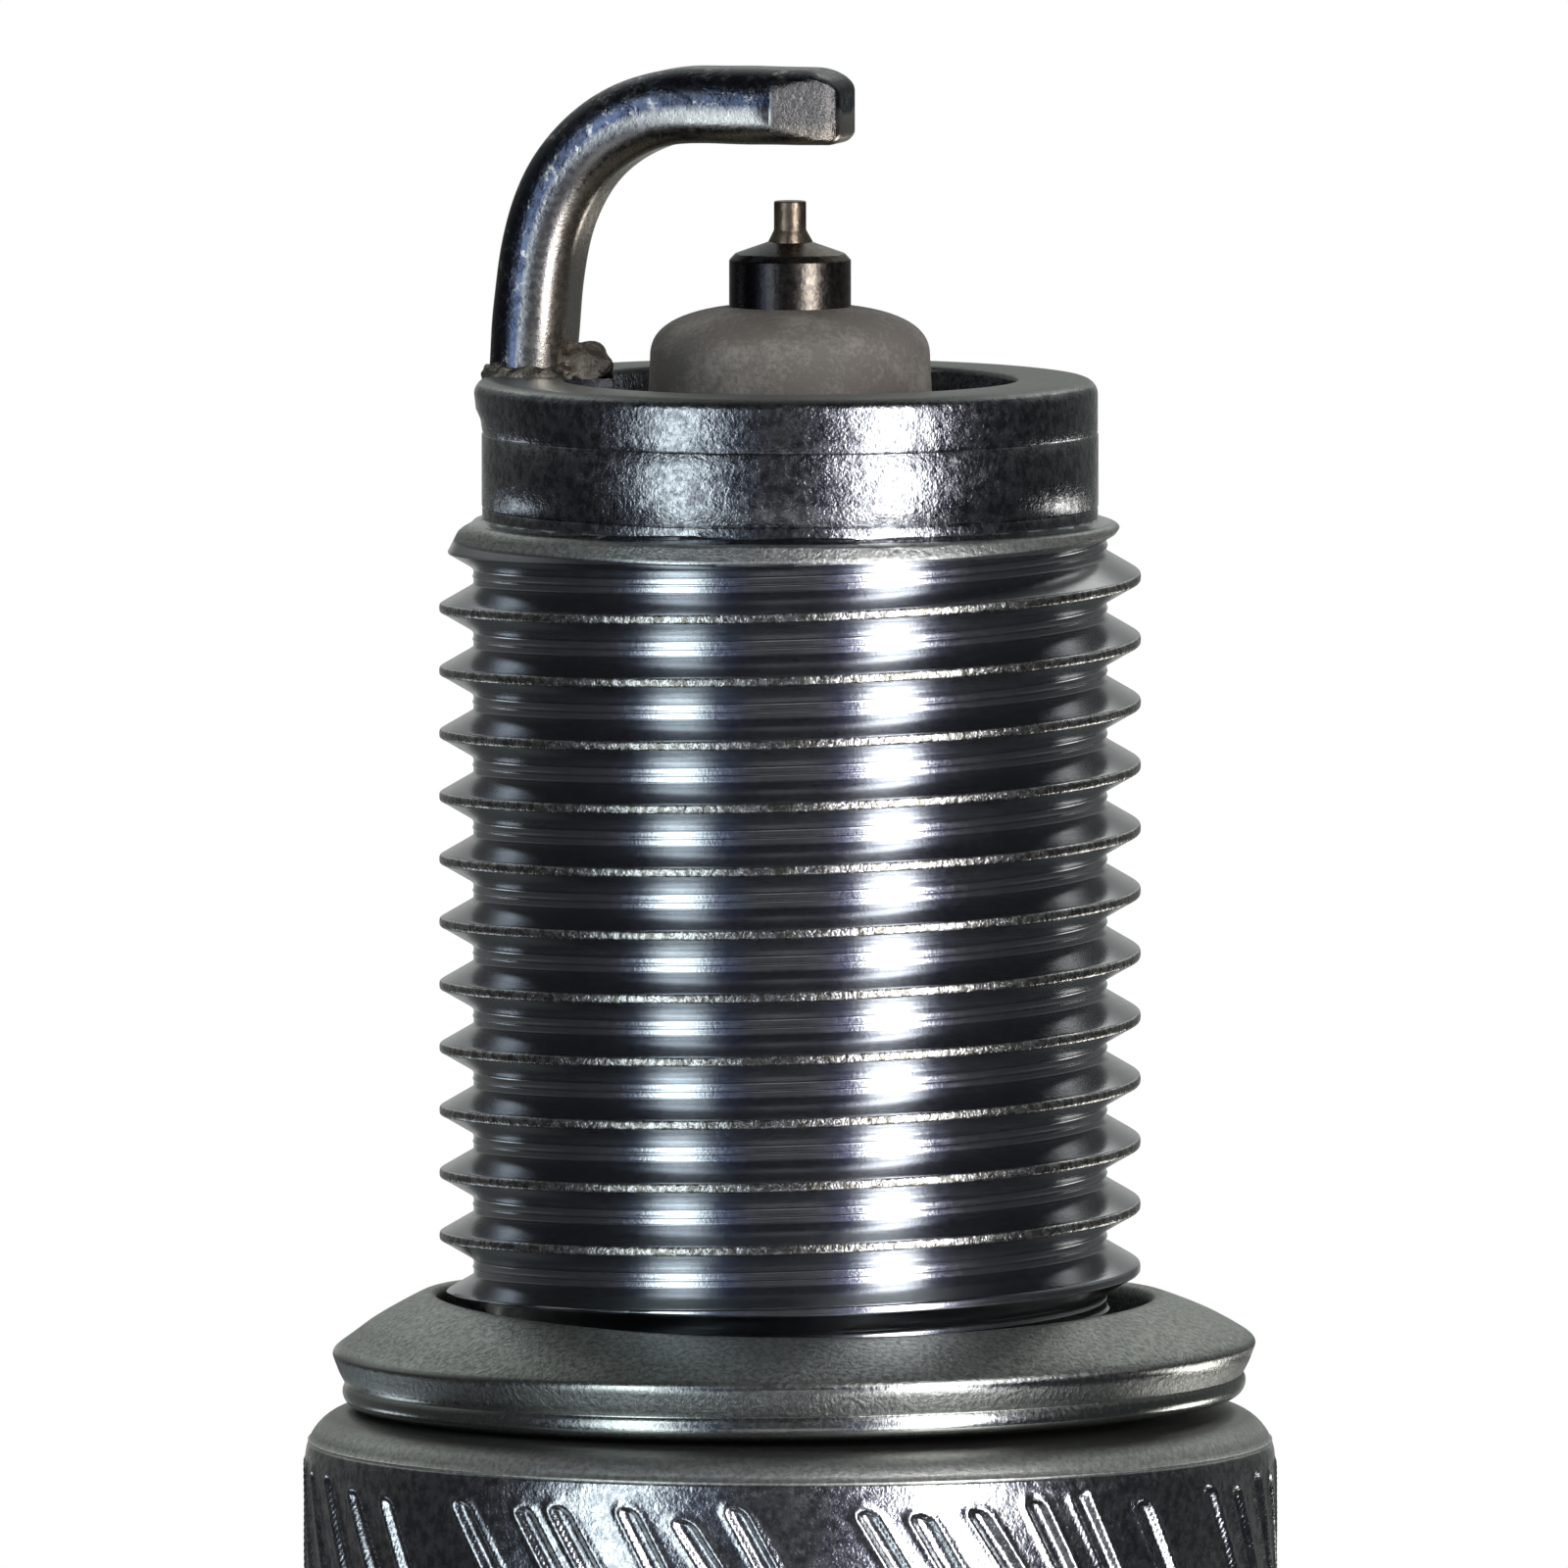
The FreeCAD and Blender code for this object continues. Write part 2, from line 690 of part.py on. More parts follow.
def make_insulator():
    """Alumina insulator: nose, seat cone, trunk, barrel, shoulder, neck with ribs, and a stepped bore."""
    body = new_body("insulator")
    rounding = S.insulator_tip_round
    top = S.insulator_top
    tip = S.insulator_tip_radius
    bore = S.electrode_bore
    neck = S.insulator_neck
    barrel = S.insulator_barrel
    bore_step = (S.main_bore - bore) * S.seat_slope
    end = -S.insulator_end
    end_turn = S.insulator_end_round
    corners = [
        (bore, top),
        (bore, -S.electrode_seat),
        (S.main_bore, -S.electrode_seat - bore_step),
        (S.main_bore, end),
        (neck - end_turn, end),
        (neck, end + end_turn, end_turn),
    ]
    ribs = []
    width = S.rib_groove * 2
    edge = S.rib_edge
    for i in range(int(S.rib_count.value)):
        first = -(S.rib_start + S.rib_pitch * i)
        bottom = first - edge * 2 - width
        groove_radius = neck - edge
        ribs.insert(0, [
            (neck, bottom),
            (groove_radius, bottom + edge, edge),
            (groove_radius, bottom + edge + width, -S.rib_groove),
            (neck, first, edge),
        ])
    for rib in ribs:
        corners.extend(rib)
    shoulder = S.shoulder_round
    corners.extend([
        (neck, -(S.barrel_end + shoulder)),
        (barrel, -S.barrel_end, shoulder),
        (barrel, -(S.barrel_start + S.cone_height)),
        (S.insulator_trunk, -S.barrel_start),
        (S.insulator_trunk, seat_height(S.insulator_trunk, S.washer_thickness)),
        (S.insulator_nose_base, seat_height(S.insulator_nose_base, S.washer_thickness)),
        (tip, top - S.insulator_taper),
        (tip - rounding, top, rounding),
    ])
    revolve(body, "turned_ceramic", corners)
    return body


def make_seat_washer():
    """Thin conical washer between the insulator's seat cone and the ledge in the shell."""
    body = new_body("seat_washer")
    gap = S.fill_clearance
    inner = S.ledge_bore + gap * 10
    outer = S.insulator_trunk
    thick = S.washer_thickness - gap
    corners = [
        (inner, seat_height(inner, gap)),
        (inner, seat_height(inner, thick)),
        (outer, seat_height(outer, thick)),
        (outer, seat_height(outer, gap)),
    ]
    revolve(body, "washer", corners)
    return body


def make_wire_ring(label, height):
    """Round steel wire bent to a ring, one of the two that hold the talc."""
    body = new_body(label)
    sketch = new_sketch(body, "wire_section")
    centre = FreeCAD.Vector(S.wire_ring_radius.value, height.value, 0)
    circle = Part.Circle(centre, FreeCAD.Vector(0, 0, 1), S.wire_radius.value)
    index = sketch.addGeometry(circle, False)
    fix_point(sketch, index, 3, S.wire_ring_radius, height)
    size = sketch.addConstraint(Sketcher.Constraint("Radius", index, S.wire_radius.value))
    sketch.setExpression("Constraints[%d]" % size, S.wire_radius.text)
    doc.recompute()
    ring = body.newObject("PartDesign::Revolution", "ring")
    ring.Profile = sketch
    ring.ReferenceAxis = (sketch, ["V_Axis"])
    ring.Angle = 360
    doc.recompute()
    return body


def make_lower_packing_ring():
    return make_wire_ring("lower_packing_ring", -S.lower_ring_height)


def make_upper_packing_ring():
    return make_wire_ring("upper_packing_ring", -S.upper_ring_height)


def make_talc_ring():
    """Pressed talc between the two packing rings."""
    body = new_body("talc_ring")
    gap = S.ring_clearance
    inner = S.insulator_neck + gap
    outer = S.barrel_bore - gap
    top = -(S.lower_ring_height + S.wire_radius + gap)
    bottom = -(S.upper_ring_height - S.wire_radius - gap)
    revolve(body, "talc", [(inner, bottom), (outer, bottom), (outer, top), (inner, top)])
    return body


def make_lower_glass_seal():
    """Conductive glass that fills the bore round and behind the centre electrode's head."""
    body = new_body("lower_glass_seal")
    gap = S.fill_clearance
    outer = S.main_bore - gap
    inner = S.electrode_head_radius + gap
    floor = -(S.electrode_end + gap)
    corners = [
        (0, floor),
        (0, -S.resistor_start),
        (outer, -S.resistor_start),
        (outer, -S.seal_start),
        (inner, -S.seal_start),
        (inner, floor),
    ]
    revolve(body, "glass", corners)
    return body


def make_resistor():
    """Carbon and glass resistor that fills the bore between the two seals."""
    body = new_body("resistor")
    gap = S.fill_clearance
    outer = S.main_bore - gap
    top = -(S.resistor_start + gap)
    revolve(body, "filling", [(0, top), (0, -S.resistor_end), (outer, -S.resistor_end), (outer, top)])
    return body


def make_upper_glass_seal():
    """Conductive glass that grips the foot of the terminal stud."""
    body = new_body("upper_glass_seal")
    gap = S.fill_clearance
    outer = S.main_bore - gap
    inner = S.stud_foot_radius + gap
    top = -(S.resistor_end + gap)
    socket = -(S.stud_start - gap)
    corners = [
        (0, top),
        (0, socket),
        (inner, socket),
        (inner, -S.seal_end),
        (outer, -S.seal_end),
        (outer, top),
    ]
    revolve(body, "glass", corners)
    return body


def make_terminal_stud():
    """Steel stud: grooved foot in the glass, shank in the bore, collar, and an M4 thread."""
    body = new_body("terminal_stud")
    gap = S.fill_clearance
    foot = S.stud_foot_radius
    depth = S.knurl_depth
    collar_top = -(S.insulator_end + gap)
    collar_bottom = collar_top - S.stud_collar_height
    corners = [(0, -S.stud_start)]
    corners.append((0, -S.stud_end))
    corners.extend([
        (S.stud_thread_radius - S.stud_chamfer, -S.stud_end),
        (S.stud_thread_radius, -(S.stud_end - S.stud_chamfer)),
        (S.stud_thread_radius, collar_bottom),
        (S.stud_collar_radius, collar_bottom),
        (S.stud_collar_radius, collar_top),
        (S.stud_radius, collar_top),
        (S.stud_radius, -(S.seal_end + depth * 2)),
        (foot, -S.seal_end),
    ])
    for i in range(4):
        height = -(S.seal_end - S.knurl_pitch * (i + 0.5))
        corners.extend([
            (foot, height),
            (foot - depth, height + depth),
            (foot, height + depth * 2),
        ])
    corners.append((foot, -S.stud_start))
    revolve(body, "turned_stud", corners)
    thread_start = -(S.stud_end + S.stud_thread_pitch)
    run = S.stud_end - S.insulator_end - S.stud_collar_height - S.stud_thread_relief
    length = run + S.stud_thread_pitch
    cut_thread(
        body,
        "terminal_thread",
        S.stud_thread_radius,
        S.stud_thread_pitch,
        S.stud_thread_depth,
        thread_start,
        length,
    )
    return body


def make_terminal_nut():
    """Solid-pattern terminal nut that screws down on the stud."""
    body = new_body("terminal_nut")
    top = -(S.insulator_end + S.fill_clearance + S.stud_collar_height + S.nut_gap)
    head = S.nut_head_radius
    neck = S.nut_neck_radius
    bore = S.nut_bore
    end = -S.nut_end
    skirt = top - S.nut_skirt
    neck_top = skirt - S.nut_slope
    neck_bottom = neck_top - S.nut_neck_length
    head_top = neck_bottom - S.nut_slope
    chamfer = S.nut_chamfer
    mouth = S.fill_clearance * 20
    corners = [
        (bore, top),
        (bore, end + mouth),
        (bore + mouth, end),
        (head - chamfer, end),
        (head, end + chamfer),
        (head, head_top),
        (neck, neck_bottom),
        (neck, neck_top),
        (head, skirt),
        (head, top - S.nut_gap * 5),
        (head - S.nut_gap * 5, top),
    ]
    revolve(body, "turned_nut", corners)
    return body


MAKERS = [
    make_shell,
    make_gasket,
    make_ground_electrode,
    make_insulator,
    make_centre_electrode,
    make_centre_electrode_core,
    make_electrode_tip,
    make_lower_glass_seal,
    make_resistor,
    make_upper_glass_seal,
    make_terminal_stud,
    make_terminal_nut,
    make_seat_washer,
    make_lower_packing_ring,
    make_talc_ring,
    make_upper_packing_ring,
]


def check_features():
    """Stops when any feature failed to build."""
    for item in doc.Objects:
        if any(word in ("Invalid", "Error") for word in item.State):
            raise RuntimeError(item.Name + " did not build")


def export(bodies):
    os.makedirs("parts", exist_ok=True)
    for body in bodies:
        shape = body.Shape
        if shape.isNull() or not shape.isValid() or len(shape.Solids) != 1:
            raise RuntimeError(body.Label + " is not one valid solid")
        shape.exportStep("parts/" + body.Label + ".step")


made = [make() for make in MAKERS]
doc.recompute()
check_features()
export(made)
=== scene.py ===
"""The spark plug's finished look, built round its CAD frame: firing end up, on a pale floor."""

import math

import bpy
import numpy as np
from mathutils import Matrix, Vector


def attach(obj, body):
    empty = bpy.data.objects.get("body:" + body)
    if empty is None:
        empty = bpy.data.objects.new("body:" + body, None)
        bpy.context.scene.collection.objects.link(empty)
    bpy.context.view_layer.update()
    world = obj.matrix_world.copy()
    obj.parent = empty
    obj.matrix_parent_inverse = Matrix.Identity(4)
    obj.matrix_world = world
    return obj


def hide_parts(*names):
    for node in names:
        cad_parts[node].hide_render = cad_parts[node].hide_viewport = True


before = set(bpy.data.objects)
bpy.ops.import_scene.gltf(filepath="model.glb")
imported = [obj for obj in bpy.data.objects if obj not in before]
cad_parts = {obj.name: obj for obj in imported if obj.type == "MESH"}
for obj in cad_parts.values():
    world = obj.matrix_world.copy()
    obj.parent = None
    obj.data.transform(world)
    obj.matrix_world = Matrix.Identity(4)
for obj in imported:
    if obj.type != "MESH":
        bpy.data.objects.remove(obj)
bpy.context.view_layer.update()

MM = 0.001
TURN = 2 * math.pi

# Main dimensions in millimetres. Heights are above the face that the gasket rests on.
PITCH = 1.25
CREST_HEIGHT = 2.824  # height of a crest on the +X side
CREST_RADIUS, ROOT_RADIUS = 6.965, 6.285
THREAD_LOW, THREAD_HIGH = 1.80, 17.8
RELIEF_RADIUS = 6.18  # plain part between the flange and the thread
PILOT_RADIUS = 6.11  # plain part above the thread
RIM_HEIGHT = 20.5
FLANGE_RADIUS, FLANGE_TURN = 9.64, 1.0  # the turn rounds the flange's upper edge
FLANGE_FOOT = -5.6
TURNED_LINE = -0.66  # parts the flange's matt upper ring from its rolled side
FLAT_RADIUS, CORNER_RADIUS = 8.0, 9.08  # hexagon
STRAP_TURN = math.radians(-16.0)
STRAP_MIDDLE = 25.92  # height of the middle of the strap's free end
STRAP_FOOT = -5.315  # where the middle of the strap meets the rim
STRAP_HALF_WIDTH, STRAP_HALF_THICK = 1.15, 0.75
TAPER_FROM, TAPER_TO = -0.27, 0.84  # the strap narrows between these, then its end is rounded
FLOOR = -49.0


# ----------------------------------------
# Mesh helpers. Everything is laid out in millimetres and scaled to metres in make_object.
# ----------------------------------------
def make_object(name, verts, faces, body, material, crease=35.0):
    """Makes a smooth-shaded mesh with sharp edges where faces meet at more than crease degrees."""
    mesh = bpy.data.meshes.new(name)
    mesh.from_pydata((np.asarray(verts, float) * MM).tolist(), [], faces)
    mesh.validate()
    mesh.polygons.foreach_set("use_smooth", [True] * len(mesh.polygons))
    mesh.set_sharp_from_angle(angle=math.radians(crease))
    mesh.materials.append(material)
    obj = bpy.data.objects.new(name, mesh)
    bpy.context.scene.collection.objects.link(obj)
    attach(obj, body)
    return obj


def rounded(corners, steps=5):
    """Outline points from (r, z, radius) corners, with an arc of that radius at each corner."""
    count = len(corners)
    points = []
    for i, (x, y, radius) in enumerate(corners):
        here = np.array([x, y], float)
        before = np.array(corners[i - 1][:2], float)
        after = np.array(corners[(i + 1) % count][:2], float)
        if radius <= 0:
            points.append(here)
            continue
        a = (before - here) / np.linalg.norm(before - here)
        b = (after - here) / np.linalg.norm(after - here)
        half = 0.5 * math.acos(float(np.clip(a @ b, -1, 1)))
        reach = radius / math.tan(half)
        centre = here + (a + b) / np.linalg.norm(a + b) * (radius / math.sin(half))
        start, end = here + a * reach - centre, here + b * reach - centre
        sweep = math.atan2(start[0] * end[1] - start[1] * end[0], float(start @ end))
        for k in range(steps + 1):
            t = sweep * k / steps
            turn = np.array([[math.cos(t), -math.sin(t)], [math.sin(t), math.cos(t)]])
            points.append(centre + turn @ start)
    return np.array(points)


def subdivide(points, longest):
    """Adds points to an open outline so that no step is longer than longest."""
    out = [points[0]]
    for a, b in zip(points[:-1], points[1:]):
        steps = max(1, int(math.ceil(np.linalg.norm(b - a) / longest)))
        out.extend(a + (b - a) * k / steps for k in range(1, steps + 1))
    return np.array(out)


def grid_faces(rows, columns, closed_rows):
    """Quads of a grid whose columns run round the axis. closed_rows joins the last row to the first."""
    faces = []
    for j in range(rows if closed_rows else rows - 1):
        below, above = j * columns, ((j + 1) % rows) * columns
        for i in range(columns):
            k = (i + 1) % columns
            faces.append((below + i, below + k, above + k, above + i))
    return faces


def lathe(profile, columns, shape=None):
    """Vertices and faces of a closed (r, z) outline turned round the axis.

    shape(angle, r, z), when given, changes the radii and returns new r and z arrays.
    Outlines run anticlockwise, so that faces point outwards. Points at r = 0 become single vertices.
    """
    profile = np.asarray(profile, float)
    angles = np.arange(columns) * TURN / columns
    a, r = np.meshgrid(angles, profile[:, 0])
    z = np.repeat(profile[:, 1:2], columns, axis=1)
    if shape is not None:
        r, z = shape(a, r, z)
    verts = np.stack([r * np.cos(a), r * np.sin(a), z], axis=-1).reshape(-1, 3)
    return merge(verts, grid_faces(len(profile), columns, True))


def merge(verts, faces):
    """Joins vertices in the same place and drops faces that have collapsed."""
    keys = np.round(np.asarray(verts) * 1e4).astype(np.int64)
    _, first, index = np.unique(keys, axis=0, return_index=True, return_inverse=True)
    index = index.reshape(-1)
    kept = []
    for face in faces:
        loop = []
        for v in (int(index[k]) for k in face):
            if not loop or loop[-1] != v:
                loop.append(v)
        if len(loop) > 1 and loop[0] == loop[-1]:
            loop.pop()
        if len(set(loop)) == len(loop) and len(loop) > 2:
            kept.append(tuple(loop))
    return np.asarray(verts)[first], kept


def smoothstep(low, high, x):
    t = np.clip((x - low) / (high - low), 0, 1)
    return t * t * (3 - 2 * t)


def soft_min(a, b, width):
    """The smaller of a and b, with the corner between them rounded over width."""
    h = np.clip(0.5 + 0.5 * (b - a) / width, 0, 1)
    return b + (a - b) * h - width * h * (1 - h)


# ----------------------------------------
# Procedural materials
# ----------------------------------------
class Nodes:
    """Builds one material's node tree. Positions and sizes are in millimetres."""

    def __init__(self, name):
        self.material = bpy.data.materials.new(name)
        self.material.use_nodes = True
        self.tree = self.material.node_tree
        self.shader = self.tree.nodes["Principled BSDF"]
        coordinates = self.tree.nodes.new("ShaderNodeTexCoord")
        scale = self.tree.nodes.new("ShaderNodeVectorMath")
        scale.operation = "SCALE"
        scale.inputs["Scale"].default_value = 1000.0
        self.link(coordinates.outputs["Object"], scale.inputs[0])
        self.position = scale.outputs[0]

    def link(self, source, target):
        self.tree.links.new(source, target)

    def set(self, name, value):
        socket = self.shader.inputs[name]
        if isinstance(value, bpy.types.NodeSocket):
            self.link(value, socket)
        else:
            socket.default_value = value

    def stretch(self, x, y, z):
        """The position in millimetres, scaled differently along each axis."""
        node = self.tree.nodes.new("ShaderNodeVectorMath")
        node.operation = "MULTIPLY"
        self.link(self.position, node.inputs[0])
        node.inputs[1].default_value = (x, y, z)
        return node.outputs[0]

    def noise(self, scale, detail=3.0, roughness=0.55, vector=None):
        node = self.tree.nodes.new("ShaderNodeTexNoise")
        self.link(vector if vector is not None else self.position, node.inputs["Vector"])
        node.inputs["Scale"].default_value = scale
        node.inputs["Detail"].default_value = detail
        node.inputs["Roughness"].default_value = roughness
        return node.outputs["Fac"]

    def range(self, value, low, high, to_low, to_high):
        node = self.tree.nodes.new("ShaderNodeMapRange")
        self.link(value, node.inputs["Value"])
        numbers = {"From Min": low, "From Max": high, "To Min": to_low, "To Max": to_high}
        for name, number in numbers.items():
            node.inputs[name].default_value = number
        return node.outputs["Result"]

    def math(self, operation, a, b=None):
        node = self.tree.nodes.new("ShaderNodeMath")
        node.operation = operation
        for socket, value in zip(node.inputs, (a, b)):
            if isinstance(value, bpy.types.NodeSocket):
                self.link(value, socket)
            elif value is not None:
                socket.default_value = value
        return node.outputs[0]

    def times(self, a, b):
        return self.math("MULTIPLY", a, b)

    def plus(self, a, b):
        return self.math("ADD", a, b)

    def larger(self, a, b):
        return self.math("MAXIMUM", a, b)

    def inverse(self, value):
        return self.math("SUBTRACT", 1.0, value)

    def part(self, vector, axis):
        """One of the three components of a vector."""
        node = self.tree.nodes.new("ShaderNodeSeparateXYZ")
        self.link(vector, node.inputs[0])
        return node.outputs[axis]

    def height(self):
        return self.part(self.position, "Z")

    def radius(self):
        """Distance from the plug's axis in millimetres."""
        node = self.tree.nodes.new("ShaderNodeVectorMath")
        node.operation = "LENGTH"
        self.link(self.stretch(1.0, 1.0, 0.0), node.inputs[0])
        return node.outputs["Value"]

    def facing(self, axis):
        """One component of the normal of the face itself, without smoothing."""
        geometry = self.tree.nodes.new("ShaderNodeNewGeometry")
        return self.part(geometry.outputs["True Normal"], axis)

    def band(self, low, high, soft):
        """1 where the height in millimetres is between low and high, 0 outside, with soft ends."""
        z = self.height()
        up = self.range(z, low - soft, low + soft, 0.0, 1.0)
        down = self.range(z, high - soft, high + soft, 1.0, 0.0)
        return self.times(up, down)

    def mix(self, factor, a, b):
        node = self.tree.nodes.new("ShaderNodeMix")
        node.data_type = "RGBA"
        if isinstance(factor, bpy.types.NodeSocket):
            self.link(factor, node.inputs["Factor"])
        else:
            node.inputs["Factor"].default_value = factor
        for socket, value in ((node.inputs[6], a), (node.inputs[7], b)):
            if isinstance(value, bpy.types.NodeSocket):
                self.link(value, socket)
            else:
                socket.default_value = (*value, 1.0)
        return node.outputs[2]

    def bump(self, heights):
        """Chains bumps of (height socket, depth in millimetres) into the shader's normal."""
        normal = None
        for value, depth in heights:
            node = self.tree.nodes.new("ShaderNodeBump")
            self.link(value, node.inputs["Height"])
            node.inputs["Strength"].default_value = 1.0
            node.inputs["Distance"].default_value = depth * MM
            if normal is not None:
                self.link(normal, node.inputs["Normal"])
            normal = node.outputs["Normal"]
        self.link(normal, self.shader.inputs["Normal"])


def metal(name, colour, dark, rough, mottle=0.5, grain=0.0012, lathe_marks=0.0):
    """Worn metal: patches of a darker colour, uneven roughness, fine pits, optional turning marks."""
    n = Nodes(name)
    patches = n.range(n.noise(1.6, 5.0, 0.6), 0.35, 0.7, 0.0, mottle)
    n.set("Base Color", n.mix(patches, colour, dark))
    n.set("Metallic", 1.0)
    fine = n.noise(9.0, 3.0)
    n.set("Roughness", n.range(fine, 0.3, 0.7, rough * 0.75, rough * 1.35))
    heights = [(n.noise(14.0, 3.0, 0.6), grain)]
    if lathe_marks:
        rings = n.noise(1.0, 2.0, 0.7, n.stretch(0.25, 0.25, 22.0))
        heights.append((rings, lathe_marks))
    n.bump(heights)
    return n.material


def shell_metal():
    """Bright plated steel: mottled pilot and flange, burnished thread with torn crests."""
    n = Nodes("shell_plating")
    radius = n.radius()
    pilot = n.band(THREAD_HIGH - 0.05, RIM_HEIGHT - 0.08, 0.04)
    flange = n.band(FLANGE_FOOT, TURNED_LINE, 0.02)
    turned_ring = n.times(n.band(TURNED_LINE, 0.4, 0.02), n.range(radius, 6.6, 6.8, 0.0, 1.0))
    rim = n.range(n.height(), RIM_HEIGHT - 0.10, RIM_HEIGHT - 0.04, 0.0, 1.0)
    mottled = n.larger(pilot, n.times(flange, 0.75))
    on_thread = n.band(THREAD_LOW + 0.1, THREAD_HIGH + 0.1, 0.02)
    on_crest = n.range(radius, CREST_RADIUS - 0.05, CREST_RADIUS - 0.02, 0.0, 1.0)
    crest = n.times(on_crest, n.band(3.1, THREAD_HIGH + 0.1, 0.25))
    lead_in = n.range(radius, 6.35, 6.42, 0.0, 1.0)
    lead_in = n.times(lead_in, n.band(THREAD_HIGH - 0.5, THREAD_HIGH - 0.04, 0.03))
    torn = n.larger(crest, lead_in)
    matte = n.larger(turned_ring, n.larger(rim, lead_in))

    # the flanks that face the firing end are painted dark: a painted shade
    painted_flank_shade = n.times(n.range(n.facing("Z"), 0.45, 0.8, 0.0, 1.0), on_thread)
    painted_flank_shade = n.times(painted_flank_shade, n.inverse(torn))
    patches = n.range(n.noise(1.3, 5.0, 0.65), 0.4, 0.72, 0.0, 0.4)
    bright = n.mix(patches, (0.58, 0.60, 0.62), (0.40, 0.41, 0.43))
    mottle = n.range(n.noise(4.2, 4.0, 0.72), 0.42, 0.56, 0.0, 1.0)
    on_pilot = n.mix(mottle, (0.14, 0.145, 0.16), (0.37, 0.38, 0.395))
    on_flange = n.mix(mottle, (0.24, 0.245, 0.26), (0.56, 0.57, 0.58))
    bright = n.mix(n.times(pilot, 0.9), bright, on_pilot)
    bright = n.mix(n.times(flange, 0.8), bright, on_flange)
    speckle = n.range(n.noise(9.0, 3.0, 0.7), 0.38, 0.62, 0.0, 1.0)
    dull = n.mix(speckle, (0.33, 0.34, 0.32), (0.58, 0.59, 0.555))
    bright = n.mix(n.times(matte, 0.85), bright, dull)
    # the flange's ring is painted dark under the gasket, a painted shadow, and is bare further out
    painted_gasket_shadow = n.range(n.height(), -0.34, -0.12, 0.0, 1.0)
    bare = n.mix(speckle, (0.56, 0.57, 0.54), (0.86, 0.87, 0.83))
    bright = n.mix(n.times(turned_ring, 0.85), bright, n.mix(painted_gasket_shadow, bare, (0.14, 0.14, 0.13)))
    # the rim's top face is painted dark grey-green: a painted shade
    bright = n.mix(n.times(rim, 0.8), bright, (0.16, 0.17, 0.16))
    chips = n.range(n.noise(6.0, 3.0, 0.75), 0.44, 0.56, 0.0, 1.0)
    bright = n.mix(crest, bright, n.mix(chips, (0.24, 0.23, 0.20), (0.62, 0.62, 0.60)))
    # dark colour of the painted shade on the flanks that face the firing end
    n.set("Base Color", n.mix(painted_flank_shade, bright, (0.26, 0.27, 0.29)))
    n.set("Metallic", 1.0)
    fine = n.range(n.noise(7.0, 4.0, 0.6), 0.35, 0.7, 0.0, 1.0)
    rough = n.plus(0.15, n.times(fine, 0.06))
    rough = n.plus(rough, n.times(mottled, n.times(fine, 0.09)))
    rough = n.plus(rough, n.times(crest, 0.08))
    n.set("Roughness", n.plus(rough, n.times(matte, 0.24)))

    dimples = n.times(n.noise(5.5, 3.0, 0.6), mottled)
    nicks = n.times(n.noise(7.0, 3.0, 0.7), torn)
    gritty = n.plus(0.35, n.larger(mottled, n.larger(matte, crest)))
    grit = n.times(n.noise(17.0, 2.0, 0.6), gritty)
    rings = n.noise(1.0, 2.0, 0.7, n.stretch(0.15, 0.15, 16.0))
    n.bump([(dimples, 0.015), (nicks, 0.022), (grit, 0.0060), (rings, 0.0012)])
    return n.material


def gasket_metal():
    """Dull plated sheet: matt on top and on the wall, burnished on the lip and the lower fold; the wall
    under the lip is painted darker, a painted shade.
    """
    n = Nodes("gasket_metal")
    patches = n.range(n.noise(1.2, 5.0, 0.6), 0.35, 0.7, 0.0, 0.5)
    speckle = n.range(n.noise(9.0, 3.0, 0.7), 0.38, 0.62, 0.0, 1.0)
    worn = n.mix(patches, (0.51, 0.53, 0.50), (0.39, 0.41, 0.39))
    matt_shaded_wall = n.band(0.66, 1.11, 0.06)
    burnished = n.times(n.range(n.height(), 1.20, 1.34, 1.0, 0.0), n.inverse(matt_shaded_wall))
    speckle = n.times(speckle, n.math("SUBTRACT", 0.75, n.times(burnished, 0.55)))
    # the matt wall under the lip is painted darker: a painted shade
    worn = n.mix(n.times(matt_shaded_wall, 0.6), worn, (0.20, 0.205, 0.195))
    n.set("Base Color", n.mix(speckle, worn, (0.16, 0.17, 0.155)))
    n.set("Metallic", 1.0)
    grain = n.range(n.noise(12.0, 3.0), 0.3, 0.7, 0.34, 0.48)
    n.set("Roughness", n.math("SUBTRACT", grain, n.times(burnished, 0.20)))
    rings = n.noise(1.0, 2.0, 0.7, n.stretch(0.2, 0.2, 14.0))
    sanded = n.times(n.noise(9.0, 3.0, 0.7), n.inverse(n.times(burnished, 0.8)))
    n.bump([(sanded, 0.022), (rings, 0.003)])
    return n.material


